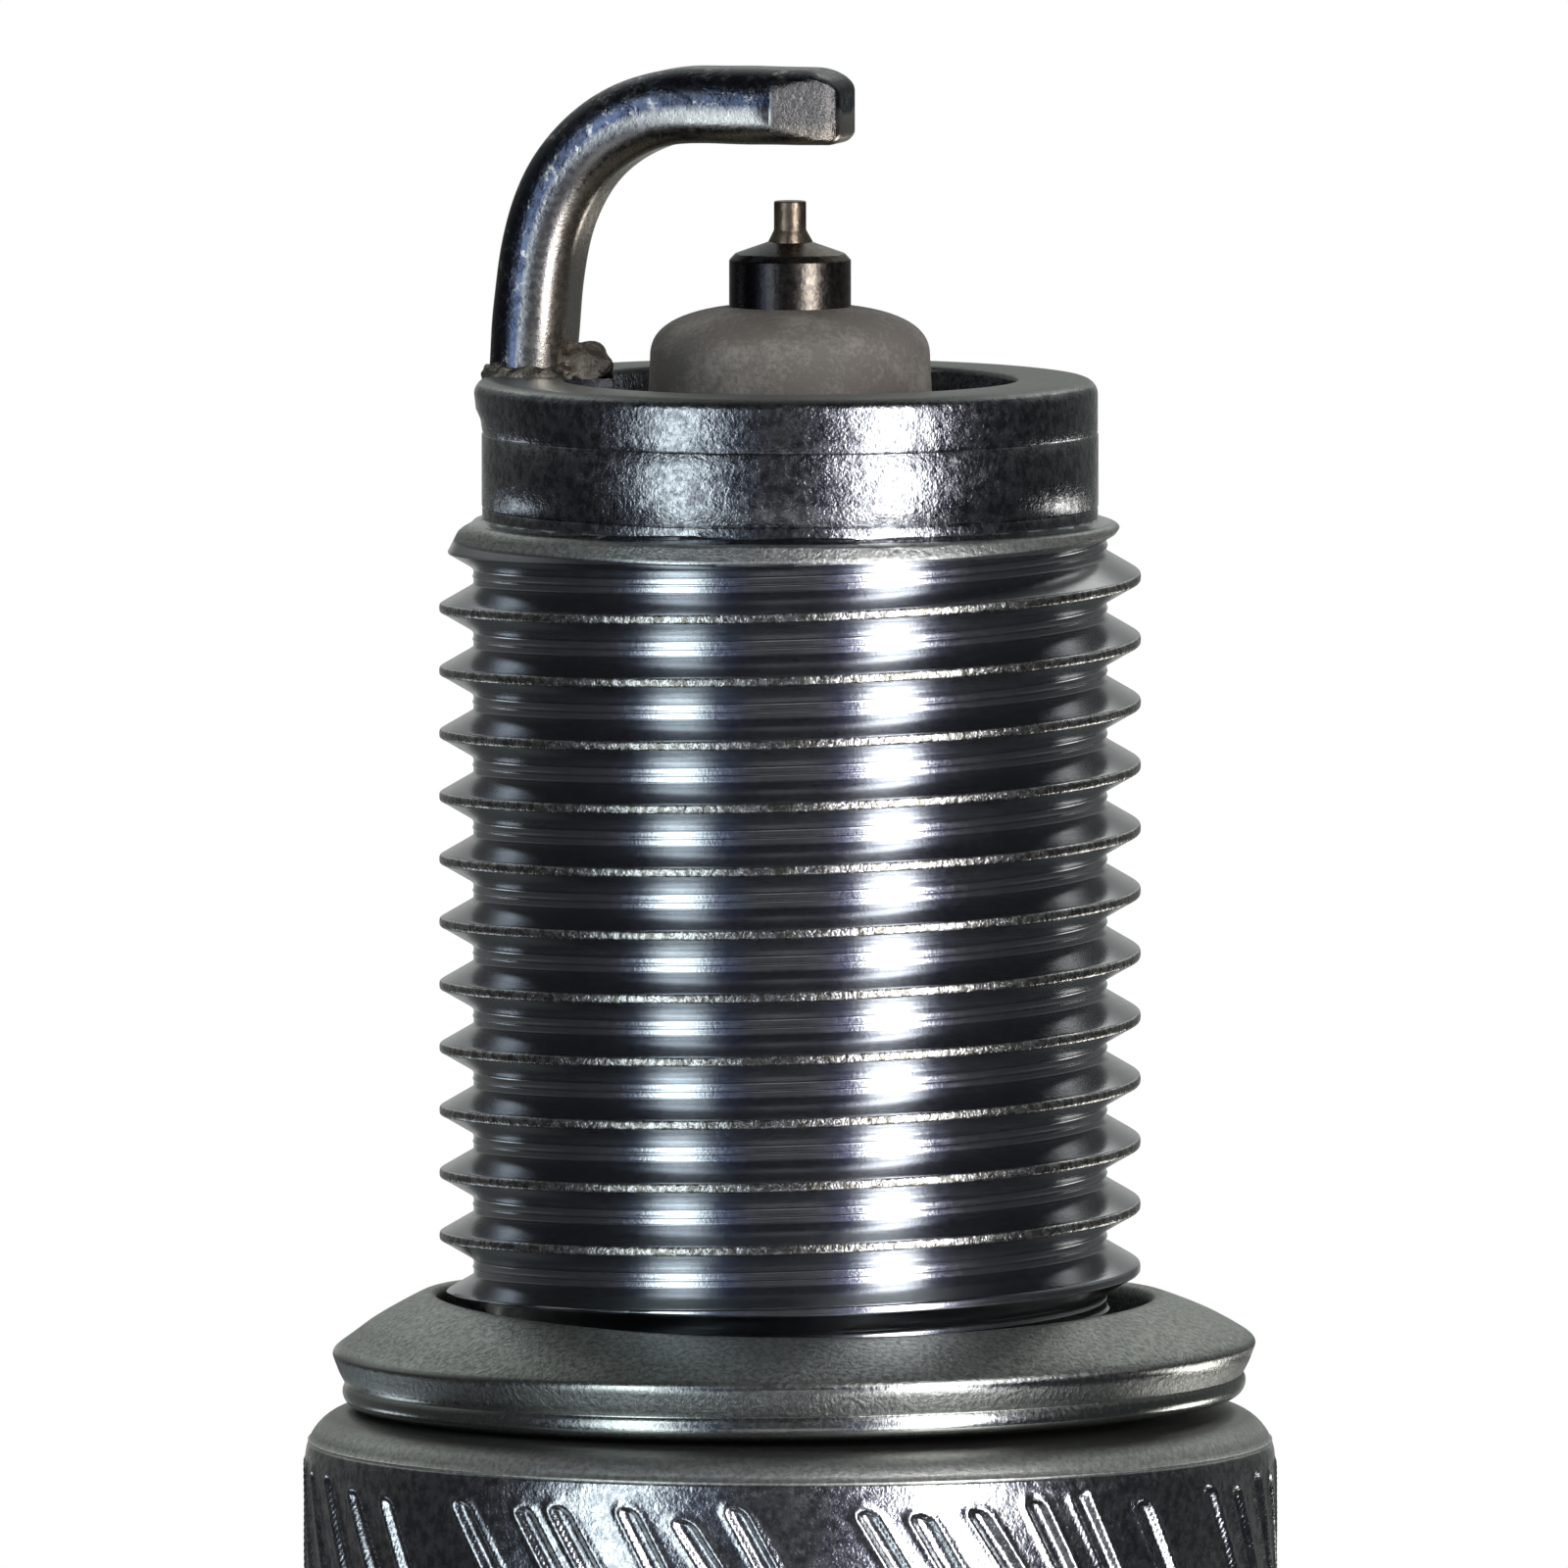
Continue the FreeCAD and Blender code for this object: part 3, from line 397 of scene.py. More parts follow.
def strap_metal():
    """Drawn nickel alloy: worn patches, scars, and a sheared facet at the free end."""
    n = Nodes("strap_metal")
    patches = n.range(n.noise(1.5, 5.0, 0.65), 0.4, 0.65, 0.0, 0.6)
    sheared = n.range(n.part(n.position, "X"), -0.42, -0.34, 0.0, 1.0)
    sheared = n.times(sheared, n.range(n.facing("Y"), -0.84, -0.70, 1.0, 0.0))
    # the outside of the bend carries dark scale, worn through in places
    attribute = n.tree.nodes.new("ShaderNodeAttribute")
    attribute.attribute_name = "outside"
    outside = attribute.outputs["Fac"]
    worn = n.range(n.noise(3.2, 4.0, 0.7), 0.56, 0.66, 0.0, 0.75)
    scale = n.range(outside, -0.12, 0.10, 0.0, 1.0)
    scale = n.times(scale, n.inverse(n.larger(worn, sheared)))
    metal_colour = n.mix(patches, (0.62, 0.60, 0.57), (0.40, 0.395, 0.39))
    metal_colour = n.mix(n.times(sheared, 0.85), metal_colour, (0.105, 0.10, 0.10))
    # a blue fringe is painted where the scale thins out next to the bright streak: a painted fringe of
    # the highlight
    uneven = n.math("SUBTRACT", n.noise(2.6, 3.0, 0.65), 0.5)
    uneven = n.plus(outside, n.times(uneven, 0.9))
    painted_blue_fringe = n.range(uneven, 0.1, 0.75, 1.0, 0.0)
    scale_and_blue_fringe_colour = n.mix(painted_blue_fringe, (0.085, 0.088, 0.10), (0.072, 0.09, 0.15))
    # a warm fringe is painted on the inside of the bend, along the bright streak: a painted fringe of
    # the highlight
    painted_warm_fringe = n.range(outside, -0.75, -0.35, 0.7, 0.0)
    metal_colour = n.mix(painted_warm_fringe, metal_colour, (0.46, 0.40, 0.33))
    n.set("Base Color", n.mix(scale, metal_colour, scale_and_blue_fringe_colour))
    n.set("Metallic", 1.0)
    rough = n.range(n.noise(8.0, 3.0), 0.3, 0.7, 0.20, 0.34)
    n.set("Roughness", n.plus(rough, n.times(sheared, 0.08)))
    scars = n.range(n.noise(2.2, 4.0, 0.7), 0.5, 0.75, 0.0, 1.0)
    amount = n.plus(0.12, n.larger(n.times(scars, scale), n.times(sheared, 1.6)))
    torn = n.times(n.noise(7.0, 4.0, 0.7), amount)
    n.bump([(torn, 0.030), (n.noise(18.0, 2.0, 0.6), 0.0035)])
    return n.material


def rod_metal():
    """Dark nickel alloy, painted blacker on the side under the strap's bend: a painted shade."""
    n = Nodes("rod_metal")
    # the side under the strap's bend is painted near black: a painted shade
    unshaded_side = n.range(n.part(n.position, "X"), -0.5, 0.35, 0.0, 1.0)
    patches = n.range(n.noise(5.0, 4.0, 0.65), 0.4, 0.62, 0.0, 0.55)
    colour = n.mix(unshaded_side, (0.022, 0.022, 0.028), (0.19, 0.165, 0.135))
    n.set("Base Color", n.mix(patches, colour, (0.03, 0.03, 0.035)))
    n.set("Metallic", 1.0)
    n.set("Roughness", n.range(n.noise(9.0, 3.0), 0.3, 0.7, 0.22, 0.32))
    rings = n.noise(1.0, 2.0, 0.7, n.stretch(0.25, 0.25, 22.0))
    n.bump([(n.noise(12.0, 3.0, 0.6), 0.006), (rings, 0.002)])
    return n.material


def ceramic_nose():
    """Alumina: white and glazed on the neck, stained warm grey and matt on the nose."""
    n = Nodes("alumina")
    nose = n.range(n.height(), 4.0, 8.0, 0.0, 1.0)
    stain = n.range(n.noise(0.9, 4.0, 0.6), 0.3, 0.7, 0.0, 1.0)
    speckle = n.range(n.noise(9.0, 3.0, 0.7), 0.36, 0.64, 0.0, 0.6)
    stain = n.math("SUBTRACT", stain, speckle)
    grey = n.mix(stain, (0.178, 0.158, 0.136), (0.355, 0.33, 0.292))
    n.set("Base Color", n.mix(nose, (0.82, 0.80, 0.76), grey))
    n.set("Roughness", n.range(nose, 0.0, 1.0, 0.12, 0.62))
    n.set("Coat Weight", n.range(nose, 0.0, 1.0, 0.5, 0.0))
    n.bump([(n.noise(10.0, 4.0, 0.7), 0.030)])
    return n.material


PLATING = shell_metal()
GASKET_METAL = gasket_metal()
STRAP_METAL = strap_metal()
WELD_SCALE = metal("weld_scale", (0.26, 0.24, 0.20), (0.06, 0.055, 0.05), 0.40, 0.9, 0.045)
ROD_METAL = rod_metal()
TIP_METAL = metal("tip_metal", (0.30, 0.24, 0.18), (0.07, 0.055, 0.045), 0.36, 0.9, 0.010)
NUT_METAL = metal("nut_metal", (0.66, 0.66, 0.65), (0.52, 0.52, 0.51), 0.22, 0.3, 0.001, 0.002)
STEEL = metal("plain_steel", (0.52, 0.52, 0.51), (0.40, 0.40, 0.39), 0.32, 0.4, 0.001)
COPPER = metal("copper", (0.72, 0.40, 0.26), (0.5, 0.25, 0.15), 0.35)
CERAMIC = ceramic_nose()


def plain(name, colour, rough):
    n = Nodes(name)
    shade = n.range(n.noise(6.0, 4.0), 0.3, 0.7, 0.0, 1.0)
    n.set("Base Color", n.mix(shade, colour, tuple(c * 0.8 for c in colour)))
    n.set("Roughness", rough)
    return n.material


GLASS = plain("seal_glass", (0.2, 0.18, 0.16), 0.3)
RESISTOR = plain("resistor_mix", (0.12, 0.12, 0.13), 0.7)
TALC = plain("pressed_talc", (0.82, 0.8, 0.76), 0.85)

# ----------------------------------------
# Shell: one mesh for the thread and nose, one for the flange, one for the hexagon and collar
# ----------------------------------------
def thread_radius(offset):
    """Radius of the rolled thread at a distance along the axis from a crest's middle."""
    d = np.abs(offset)
    crest = CREST_RADIUS - 0.06 * np.clip(d / 0.14, 0, 1) ** 2.5
    flank = 6.955 - (d - 0.08) * 1.73
    outer = soft_min(crest, flank, 0.035)
    # the root is almost flat; it turns into the flank below a crest more gently than into the other
    into_flank = np.where(offset < 0, 0.09, 0.05)
    inside = -soft_min(-outer, -ROOT_RADIUS, into_flank)
    # a faint raised line runs along the middle of the root, left between the rolling dies
    ridge = 0.020 * np.exp(-(((0.625 - d) / 0.028) ** 2))
    # the lower edge of the crest carries a fine burr
    burr = 0.012 * np.exp(-(((offset + 0.095) / 0.03) ** 2))
    return inside + ridge + burr


def thread_envelope(z):
    """Largest radius at a height: the relief below the thread and the lead-in above it."""
    relief = RELIEF_RADIUS + np.clip((z - 1.85) / 0.6, 0, 1) * 0.79
    taper = 6.97 - np.clip((z - 16.72) / 0.9, 0, 1) * 0.46
    shoulder = 6.51 - np.clip((z - 17.62) / 0.12, 0, 1) * 0.40
    lead = np.where(z < 17.62, taper, shoulder)
    return np.where(z > 2.45, np.where(z > 16.72, lead, 9.0), relief)


def thread_samples():
    """Distances from one crest to the next, closest together where the profile curves most."""
    crest = np.array([0.0, 0.035, 0.07, 0.095, 0.115, 0.14, 0.18])
    flank = np.array([0.26, 0.35, 0.40])
    root = np.array([0.43, 0.46, 0.485, 0.51, 0.545, 0.575, 0.597, 0.612])
    half = np.concatenate([crest, flank, root])
    return np.concatenate([half, [0.625], PITCH - half[::-1][:-1]])


def thread_grid(columns):
    """Grid of the thread between THREAD_LOW and THREAD_HIGH, its rows following the helix."""
    samples = thread_samples()
    turns = int(math.ceil((THREAD_HIGH - THREAD_LOW) / PITCH)) + 3
    first = CREST_HEIGHT - PITCH * (math.ceil((CREST_HEIGHT - THREAD_LOW) / PITCH) + 2)
    rows = np.concatenate([first + PITCH * k + samples for k in range(turns)])
    angles = np.arange(columns) * TURN / columns
    a, s = np.meshgrid(angles, rows)
    z = s + PITCH * a / TURN
    offset = (s - CREST_HEIGHT + PITCH / 2) % PITCH - PITCH / 2
    z = np.clip(z, THREAD_LOW, THREAD_HIGH)
    r = np.minimum(thread_radius(offset), 9.0)
    r = soft_min(r, thread_envelope(z), 0.04)
    # the ends are plain circles that the neighbouring outlines meet
    r = np.where(z <= THREAD_LOW + 1e-9, RELIEF_RADIUS, r)
    r = np.where(z >= THREAD_HIGH - 1e-9, PILOT_RADIUS, r)
    verts = np.stack([r * np.cos(a), r * np.sin(a), z], axis=-1).reshape(-1, 3)
    per_turn = len(samples)
    faces = []
    for j in range(len(rows) - 1):
        for i in range(columns - 1):
            p = j * columns + i
            faces.append((p, p + 1, p + 1 + columns, p + columns))
        # one turn later the last column meets the first, one pitch further up
        if j + per_turn + 1 < len(rows):
            last = j * columns + columns - 1
            start = (j + per_turn) * columns
            faces.append((last, start, start + columns, last + columns))
    return verts, faces


def end_wall(profile, columns):
    """An open outline turned round the axis."""
    angles = np.arange(columns) * TURN / columns
    a, r = np.meshgrid(angles, profile[:, 0])
    z = np.repeat(profile[:, 1:2], columns, axis=1)
    verts = np.stack([r * np.cos(a), r * np.sin(a), z], axis=-1).reshape(-1, 3)
    return verts, grid_faces(len(profile), columns, False)


def build_threaded_end():
    """The relief, thread, pilot and rim, and the bore that holds the insulator."""
    columns = 188
    thread_verts, thread_faces = thread_grid(columns)
    rest = rounded(
        [
            (PILOT_RADIUS, THREAD_HIGH, 0),
            (PILOT_RADIUS, 17.93, 0),
            (6.085, 17.96, 0),
            (6.12, 17.99, 0),
            (6.12, 19.40, 0),
            (6.09, 19.43, 0),
            (PILOT_RADIUS, 19.47, 0),
            (PILOT_RADIUS, 19.7, 0),
            (PILOT_RADIUS, 19.9, 0),
            (PILOT_RADIUS, RIM_HEIGHT, 0.3),
            (4.5, RIM_HEIGHT, 0.1),
            (4.5, 12.6, 0),
            (3.75, 11.85, 0),
            (3.75, 10.9, 0),
            (4.75, 10.1, 0),
            (4.75, -0.6, 0),
            (7.8, -0.6, 0),
            (7.8, -0.001, 0),
            (6.5, -0.001, 0),
            (RELIEF_RADIUS, 0.35, 0.2),
            (RELIEF_RADIUS, THREAD_LOW, 0),
        ],
        6,
    )
    rest = subdivide(rest, 2.0)
    rest_verts, rest_faces = end_wall(rest, columns)
    # the weld has pushed the rim out a little behind the strap
    turned_by = np.arctan2(rest_verts[:, 1], rest_verts[:, 0])
    from_strap = (turned_by - math.radians(174.0) + math.pi) % TURN - math.pi
    size = np.hypot(rest_verts[:, 0], rest_verts[:, 1])
    push = 0.17 * np.exp(-((from_strap / 0.42) ** 2)) * smoothstep(19.55, 20.05, rest_verts[:, 2])
    push = np.where(size > 5.7, push, 0.0)
    rest_verts[:, 0] *= 1 + push / size
    rest_verts[:, 1] *= 1 + push / size
    shift = len(thread_verts)
    verts = np.concatenate([thread_verts, rest_verts])
    faces = thread_faces + [tuple(k + shift for k in face) for face in rest_faces]
    verts, faces = merge(verts, faces)
    obj = make_object("shell_threaded_end", verts, faces, "plug_body", PLATING, 50)
    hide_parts("shell")
    return obj


def stroke_pattern():
    """Plain slanted strokes rolled round the flange: (angle, slant, top, half width) of each."""
    rng = np.random.default_rng(11)
    strokes = []
    count = 50
    for i in range(count):
        angle = TURN * (i + 0.18) / count + 0.012 * rng.standard_normal()
        # every seventh place is left empty
        if i % 7 == 3:
            continue
        top = -1.32 + 0.10 * rng.standard_normal()
        strokes.append((angle, -0.58 + 0.05 * rng.standard_normal(), top, 0.12 + 0.03 * rng.random()))
    return strokes


def build_flange():
    """The flange: sunk strokes on its side, and a turned line under its rounded edge."""
    columns = 976
    underside = [(6.6, FLANGE_FOOT, 0), (7.55, FLANGE_FOOT, 0), (7.55, -5.4, 0.1)]
    outline = rounded(underside + [(FLANGE_RADIUS, -5.4, 0.4)], 8)
    turn_centre = FLANGE_RADIUS - FLANGE_TURN
    marks_top, marks_bottom = -1.1, -3.6
    side_wall = [(FLANGE_RADIUS, z) for z in np.linspace(-4.6, marks_bottom - 0.2, 5)]
    side_wall += [(FLANGE_RADIUS, z) for z in np.linspace(marks_bottom - 0.12, marks_top + 0.04, 52)]
    lean = np.radians(np.linspace(3, 17, 5))
    lower_turn = np.stack([turn_centre + np.cos(lean), -FLANGE_TURN + np.sin(lean)], axis=1)
    line = [(9.588, -0.672), (9.560, -0.655), (9.556, -0.63), (9.585, -0.61)]
    lean = np.radians(np.linspace(24, 90, 12))
    upper_turn = np.stack([turn_centre + np.cos(lean), -FLANGE_TURN + np.sin(lean)], axis=1)
    profile = np.concatenate([outline, side_wall, lower_turn, line, upper_turn, [(6.6, 0.0)]])
    strokes = stroke_pattern()

    def shape(a, r, z):
        side = (r > 9.5) & (z < -0.98) & (z > -5.0)
        depth = np.zeros_like(r)
        for angle, slant, top, half in strokes:
            centre = angle + (z + 2.3) * slant / FLANGE_RADIUS
            turned_by = (a - centre + math.pi) % TURN - math.pi
            across = turned_by * FLANGE_RADIUS * math.cos(math.atan(slant))
            along = np.clip(z - top, 0, None) + np.clip(-3.3 - z, 0, None)
            distance = np.hypot(across, along)
            depth -= 0.10 * (1 - smoothstep(half - 0.06, half + 0.07, distance))
            depth += 0.04 * np.exp(-(((distance - half - 0.09) / 0.06) ** 2))
        slow = 0.010 * np.sin(3 * a + 1.0) * smoothstep(-0.98, -1.8, z)
        return r + np.where(side, depth + slow, 0.0), z

    verts, faces = lathe(profile, columns, shape)
    obj = make_object("shell_flange", verts, faces, "plug_body", PLATING, 60)
    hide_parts("shell")
    return obj


def build_hexagon():
    """The hexagon and the crimped collar. Rows follow the arcs where the chamfers meet the flats."""
    columns = 360
    top, bottom, end = -6.9, -15.5, -17.9
    sector = TURN / 6
    angles = np.arange(columns) * TURN / columns
    off = (angles + sector / 2) % sector - sector / 2
    flat = soft_min(FLAT_RADIUS / np.cos(sector / 2 - np.abs(off)), CORNER_RADIUS, 0.04)
    # a chamfer starts at 8.25 mm, which leaves only a broken edge in the middle of each flat
    start = np.minimum(flat - 0.06, 8.25)
    slope = math.tan(math.radians(30))
    drop = (flat - start) * slope
    # from the neck outwards: radius, and depth below the end of the hexagon
    chamfer = [
        (start - 0.03, 0 * drop),
        (start + 0.03, 0.03 * slope + 0 * drop),
        ((start + flat) / 2, drop / 2),
        (flat - 0.03, drop - 0.03 * slope),
        (flat, drop + 0.03),
        (flat, drop + 0.10),
    ]
    collar = rounded(
        [
            (6.4, end + 1.25, 0),
            (5.35, end + 1.25, 0.1),
            (5.35, end, 0.25),
            (7.55, end, 1.5),
            (7.55, bottom, 0.1),
            (7.72, bottom, 0),
        ],
        6,
    )
    neck = rounded([(7.72, top, 0), (7.55, top, 0.1), (7.55, -5.5, 0), (6.4, -5.5, 0)], 6)
    rows = [(r + 0 * flat, z + 0 * flat) for r, z in subdivide(collar, 0.5)]
    rows += [(r, bottom + depth) for r, depth in chamfer]
    rows += [(r, top - depth) for r, depth in reversed(chamfer)]
    rows += [(r + 0 * flat, z + 0 * flat) for r, z in subdivide(neck, 0.5)]
    verts = [np.stack([r * np.cos(angles), r * np.sin(angles), z], axis=-1) for r, z in rows]
    verts, faces = merge(np.concatenate(verts), grid_faces(len(rows), columns, True))
    obj = make_object("shell_hexagon", verts, faces, "plug_body", PLATING, 40)
    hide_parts("shell")
    return obj


# ----------------------------------------
# Gasket
# ----------------------------------------
def build_gasket():
    """The folded sheet as one closed outline: inner catch, outer roll, wall, lip and top."""
    top = [(7.09, 1.60), (7.10, 1.80), (7.19, 1.92), (7.36, 1.95), (7.66, 1.87), (8.1, 1.72)]
    top += [(8.45, 1.58), (8.78, 1.425), (9.0, 1.30), (9.10, 1.225), (9.138, 1.185), (9.162, 1.145)]
    # the lip is blunt; below it the wall draws in towards the roll of the outer fold
    under = [(9.17, 1.105), (9.162, 1.06), (9.11, 0.92), (9.05, 0.765), (8.99, 0.645), (8.94, 0.55)]
    under += [(8.925, 0.525)]
    roll = [(8.925, 0.51), (8.945, 0.475), (8.967, 0.42), (8.975, 0.35), (8.965, 0.28)]
    roll += [(8.93, 0.20), (8.87, 0.13), (8.77, 0.07), (8.65, 0.04), (8.5, 0.02)]
    inner = [(6.76, 0.02), (6.74, 0.05), (6.74, 0.31), (6.76, 0.34), (7.12, 0.36), (7.15, 0.5)]
    outline = np.concatenate(
        [
            smooth_line(np.array(inner[::-1]), 1),
            smooth_line(np.array(roll[::-1]), 4),
            smooth_line(np.array(under[::-1]), 4),
            smooth_line(np.array(top[::-1]), 4),
        ]
    )
    tilt = math.radians(0.7)

    def shape(a, r, z):
        # the loose ring rests a little out of level, lower on the -X side, and off centre; the catch
        # under the thread stays in place
        loose = np.maximum(smoothstep(0.4, 0.9, z), smoothstep(7.15, 7.9, r))
        # the upper fold stands higher beside the thread, most of all on the -X side
        uneven = 0.245 * np.cos(a) ** 2 - 0.125 * np.cos(a)
        z = z + uneven * np.clip((9.05 - r) / 1.85, 0, 1) * smoothstep(1.2, 1.6, z)
        z = z + loose * (0.105 + r * np.cos(a) * math.tan(tilt))
        return r + loose * 0.08 * np.cos(a), z

    verts, faces = lathe(outline, 256, shape)
    obj = make_object("gasket_ring", verts, faces, "loose_gasket", GASKET_METAL, 60)
    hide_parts("gasket")
    return obj


def smooth_line(points, steps):
    """Catmull-Rom curve through points."""
    padded = np.concatenate([[2 * points[0] - points[1]], points, [2 * points[-1] - points[-2]]])
    out = []
    for i in range(1, len(padded) - 2):
        p0, p1, p2, p3 = padded[i - 1 : i + 3]
        for k in range(steps):
            t = k / steps
            out.append(
                0.5
                * (
                    2 * p1
                    + (p2 - p0) * t
                    + (2 * p0 - 5 * p1 + 4 * p2 - p3) * t * t
                    + (3 * p1 - p0 - 3 * p2 + p3) * t * t * t
                )
            )
    out.append(points[-1])
    return np.array(out)


# ----------------------------------------
# Ground electrode
# ----------------------------------------
def strap_path():
    """Places along the strap's middle line, in its own plane: (u, z, angle of the line)."""
    # how far the line leans in from upright, along its length; past the last one it turns evenly
    places = np.array([0.0, 1.15, 1.9, 2.52, 3.09, 3.74, 7.25])
    leans = np.radians([3.0, 4.7, 7.0, 10.8, 17.3, 26.5, 90.0])
    step = 0.01
    along = np.arange(0, 9.0, step)
    lean = np.interp(along, places, leans)
    smoothing = 30
    padded = np.pad(lean, smoothing, mode="edge")
    lean = np.convolve(padded, np.ones(2 * smoothing + 1) / (2 * smoothing + 1), "valid")
    u = np.concatenate([[0], np.cumsum(np.sin(lean) * step)[:-1]]) + STRAP_FOOT
    z = np.concatenate([[0], np.cumsum(np.cos(lean) * step)[:-1]])
    z += STRAP_MIDDLE - z[-1]
    kept = [(u[k], z[k], math.pi / 2 - lean[k]) for k in range(0, len(along), 9) if u[k] < -1.3]
    kept += [(x, STRAP_MIDDLE, 0.0) for x in np.linspace(-1.2, TAPER_FROM, 6)]
    kept += [(x, STRAP_MIDDLE, 0.0) for x in np.linspace(TAPER_FROM, TAPER_TO, 14)[1:]]
    return kept


def build_ground_electrode():
    """The strap: one section carried along strap_path, narrowed at its free end."""
    half_width, half_thick, turn = STRAP_HALF_WIDTH, STRAP_HALF_THICK, 0.70
    corner = rounded(
        [
            (half_width, -half_thick, turn),
            (half_width, half_thick, turn),
            (-half_width, half_thick, turn),
            (-half_width, -half_thick, turn),
        ],
        10,
    )
    section = subdivide(np.concatenate([corner, corner[:1]]), 0.22)[:-1]
    count = len(section)
    # the free end is closed by rings that draw in to a flat, with its edges well rounded
    rings = strap_path()
    end_reach = 0.34
    for t in np.radians(np.linspace(15, 90, 8)):
        rings.append((TAPER_TO + end_reach * math.sin(t), STRAP_MIDDLE, 0.0))
    verts = []
    rng = np.random.default_rng(5)
    waves = rng.uniform(0, TURN, 6)
    for u, z, angle in rings:
        at_end = min(max((u - 0.90) / 0.28, 0.0), 1.0)
        inset = 0.24 * (1 - math.sqrt(1 - at_end**2))
        # the top edge of the free end droops much more than the others
        at_end = min(max((u - 0.44) / 0.74, 0.0), 1.0)
        droop = 0.50 * (1 - math.sqrt(1 - at_end**2))
        trim = half_width
        if u > TAPER_FROM and angle == 0.0:
            trim = half_width - (u - TAPER_FROM) * (half_width - 0.78) / 1.39
        across = np.clip(section[:, 0], -trim, trim)
        up = section[:, 1]
        across = np.sign(across) * np.maximum(np.abs(across) - inset, 0)
        up = np.where(up > 0, up * (1 - droop / half_thick), up * (1 - inset / half_thick))
        side = np.array([0.0, 1.0, 0.0])
        lift = np.array([-math.sin(angle), 0.0, math.cos(angle)])
        centre = np.array([u, 0.0, z])
        wobble = 0.006 * math.sin(2.1 * (u + z) + waves[0]) + 0.004 * math.sin(5.3 * (u - z) + waves[1])
        for a, b in zip(across, up):
            verts.append(centre + side * (-a) + lift * (b * (1 + wobble)))
    rows = len(rings)
    faces = []
    for j in range(rows - 1):
        for i in range(count):
            k = (i + 1) % count
            p, q = j * count, (j + 1) * count
            faces.append((p + i, q + i, q + k, p + k))
    faces.append(tuple(range(count)))
    faces.append(tuple((rows - 1) * count + i for i in reversed(range(count))))
    verts = turned(np.array(verts), STRAP_TURN)
    obj = make_object("ground_strap", verts, faces, "plug_body", STRAP_METAL, 38)
    # 1 on the outside of the bend, -1 on the inside
    outside = obj.data.attributes.new("outside", "FLOAT", "POINT")
    outside.data.foreach_set("value", np.tile(section[:, 1] / half_thick, rows))
    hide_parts("ground_electrode")
    return obj


def turned(verts, angle):
    """Vertices turned round the plug's axis."""
    c, s = math.cos(angle), math.sin(angle)
    return verts @ np.array([[c, s, 0], [-s, c, 0], [0, 0, 1]])


def build_weld():
    """Uneven bead of flash squeezed out all round the strap's foot."""
    count, steps = 176, 18
    middle, foot = -5.33, 20.44  # of the strap's section where it enters the rim
    overlap, squareness = 0.08, 5.0
    half_thick, half_wide = STRAP_HALF_THICK - 0.01, STRAP_HALF_WIDTH - 0.03
    rng = np.random.default_rng(3)
    phase = rng.uniform(0, TURN, 8)
    verts = []
    for j in range(steps + 1):
        t = j / steps
        for i in range(count):
            a = TURN * i / count
            swell = 1 + 0.18 * math.sin(3 * a + phase[0]) + 0.12 * math.sin(7 * a + phase[1])
            inner = math.exp(-((((a + math.pi) % TURN) - math.pi) / 0.55) ** 2)
            lump = 1 + 0.22 * math.sin(5 * a + phase[2]) * math.sin(3.1 * t + phase[3])
            lump += 0.12 * math.sin(17 * a + phase[4]) * math.sin(9 * t + phase[5])
            reach = (0.08 + 0.13 * swell + 0.66 * inner) * lump
            height = (0.14 + 0.13 * swell + 0.42 * inner) * lump
            out = reach * math.cos(t * math.pi / 2)
            up = height * math.sin(t * math.pi / 2)
            c, s = math.cos(a), math.sin(a)
            size = abs(c / half_thick) ** squareness + abs(s / half_wide) ** squareness
            size = size ** (-1 / squareness)
            distance = size - overlap + out
            verts.append((middle + distance * c, distance * s, foot + up))
    faces = []
    for j in range(steps):
        for i in range(count):
            k = (i + 1) % count
            p, q = j * count, (j + 1) * count
            faces.append((p + i, p + k, q + k, q + i))
    faces.append(tuple(reversed(range(count))))
    faces.append(tuple(steps * count + i for i in range(count)))
    verts = turned(np.array(verts), STRAP_TURN)
    obj = make_object("strap_weld", verts, faces, "plug_body", WELD_SCALE, 80)
    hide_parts("ground_electrode")
    return obj


# ----------------------------------------
# Insulator, centre electrode and terminal
# ----------------------------------------
def build_insulator():
    """The insulator, from the ribbed neck to the domed nose."""
    corners = [
        (1.25, 21.9, 0),
        (1.25, -1.2, 0),
        (2.0, -1.8, 0),
        (2.0, -39.6, 0.1),
        (5.15, -39.6, 0.6),
    ]
    for i in reversed(range(5)):
        first = -(21.6 + 3.0 * i)
        corners += [
            (5.15, first - 2.0, 0.3),
            (4.25, first - 1.72, 0.55),
            (4.25, first - 0.28, 0.55),
            (5.15, first, 0.3),
        ]
    corners += [
        (5.15, -13.0, 0.3),
        (5.95, -12.3, 0.5),
        (5.95, -4.65, 0.1),
        (4.6, -3.45, 0.1),
        (4.6, 9.81, 0),
        (3.3, 10.65, 0),
    ]
    # the nose ends in a low dome round the electrode
    rise = np.sin(np.radians(np.linspace(0, 78, 20)))
    rise = np.append(rise[rise < 0.955], 0.958)
    dome = np.stack([2.78 * (1 - rise**2.6) ** (1 / 2.6), 20.9 + 1.09 * rise], axis=1)
    turned_part = rounded(corners, 8)
    outline = subdivide(np.concatenate([turned_part, dome]), 1.5)
    verts, faces = lathe(outline, 160)
    obj = make_object("insulator_body", verts, faces, "plug_body", CERAMIC, 40)
    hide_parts("insulator")
    return obj


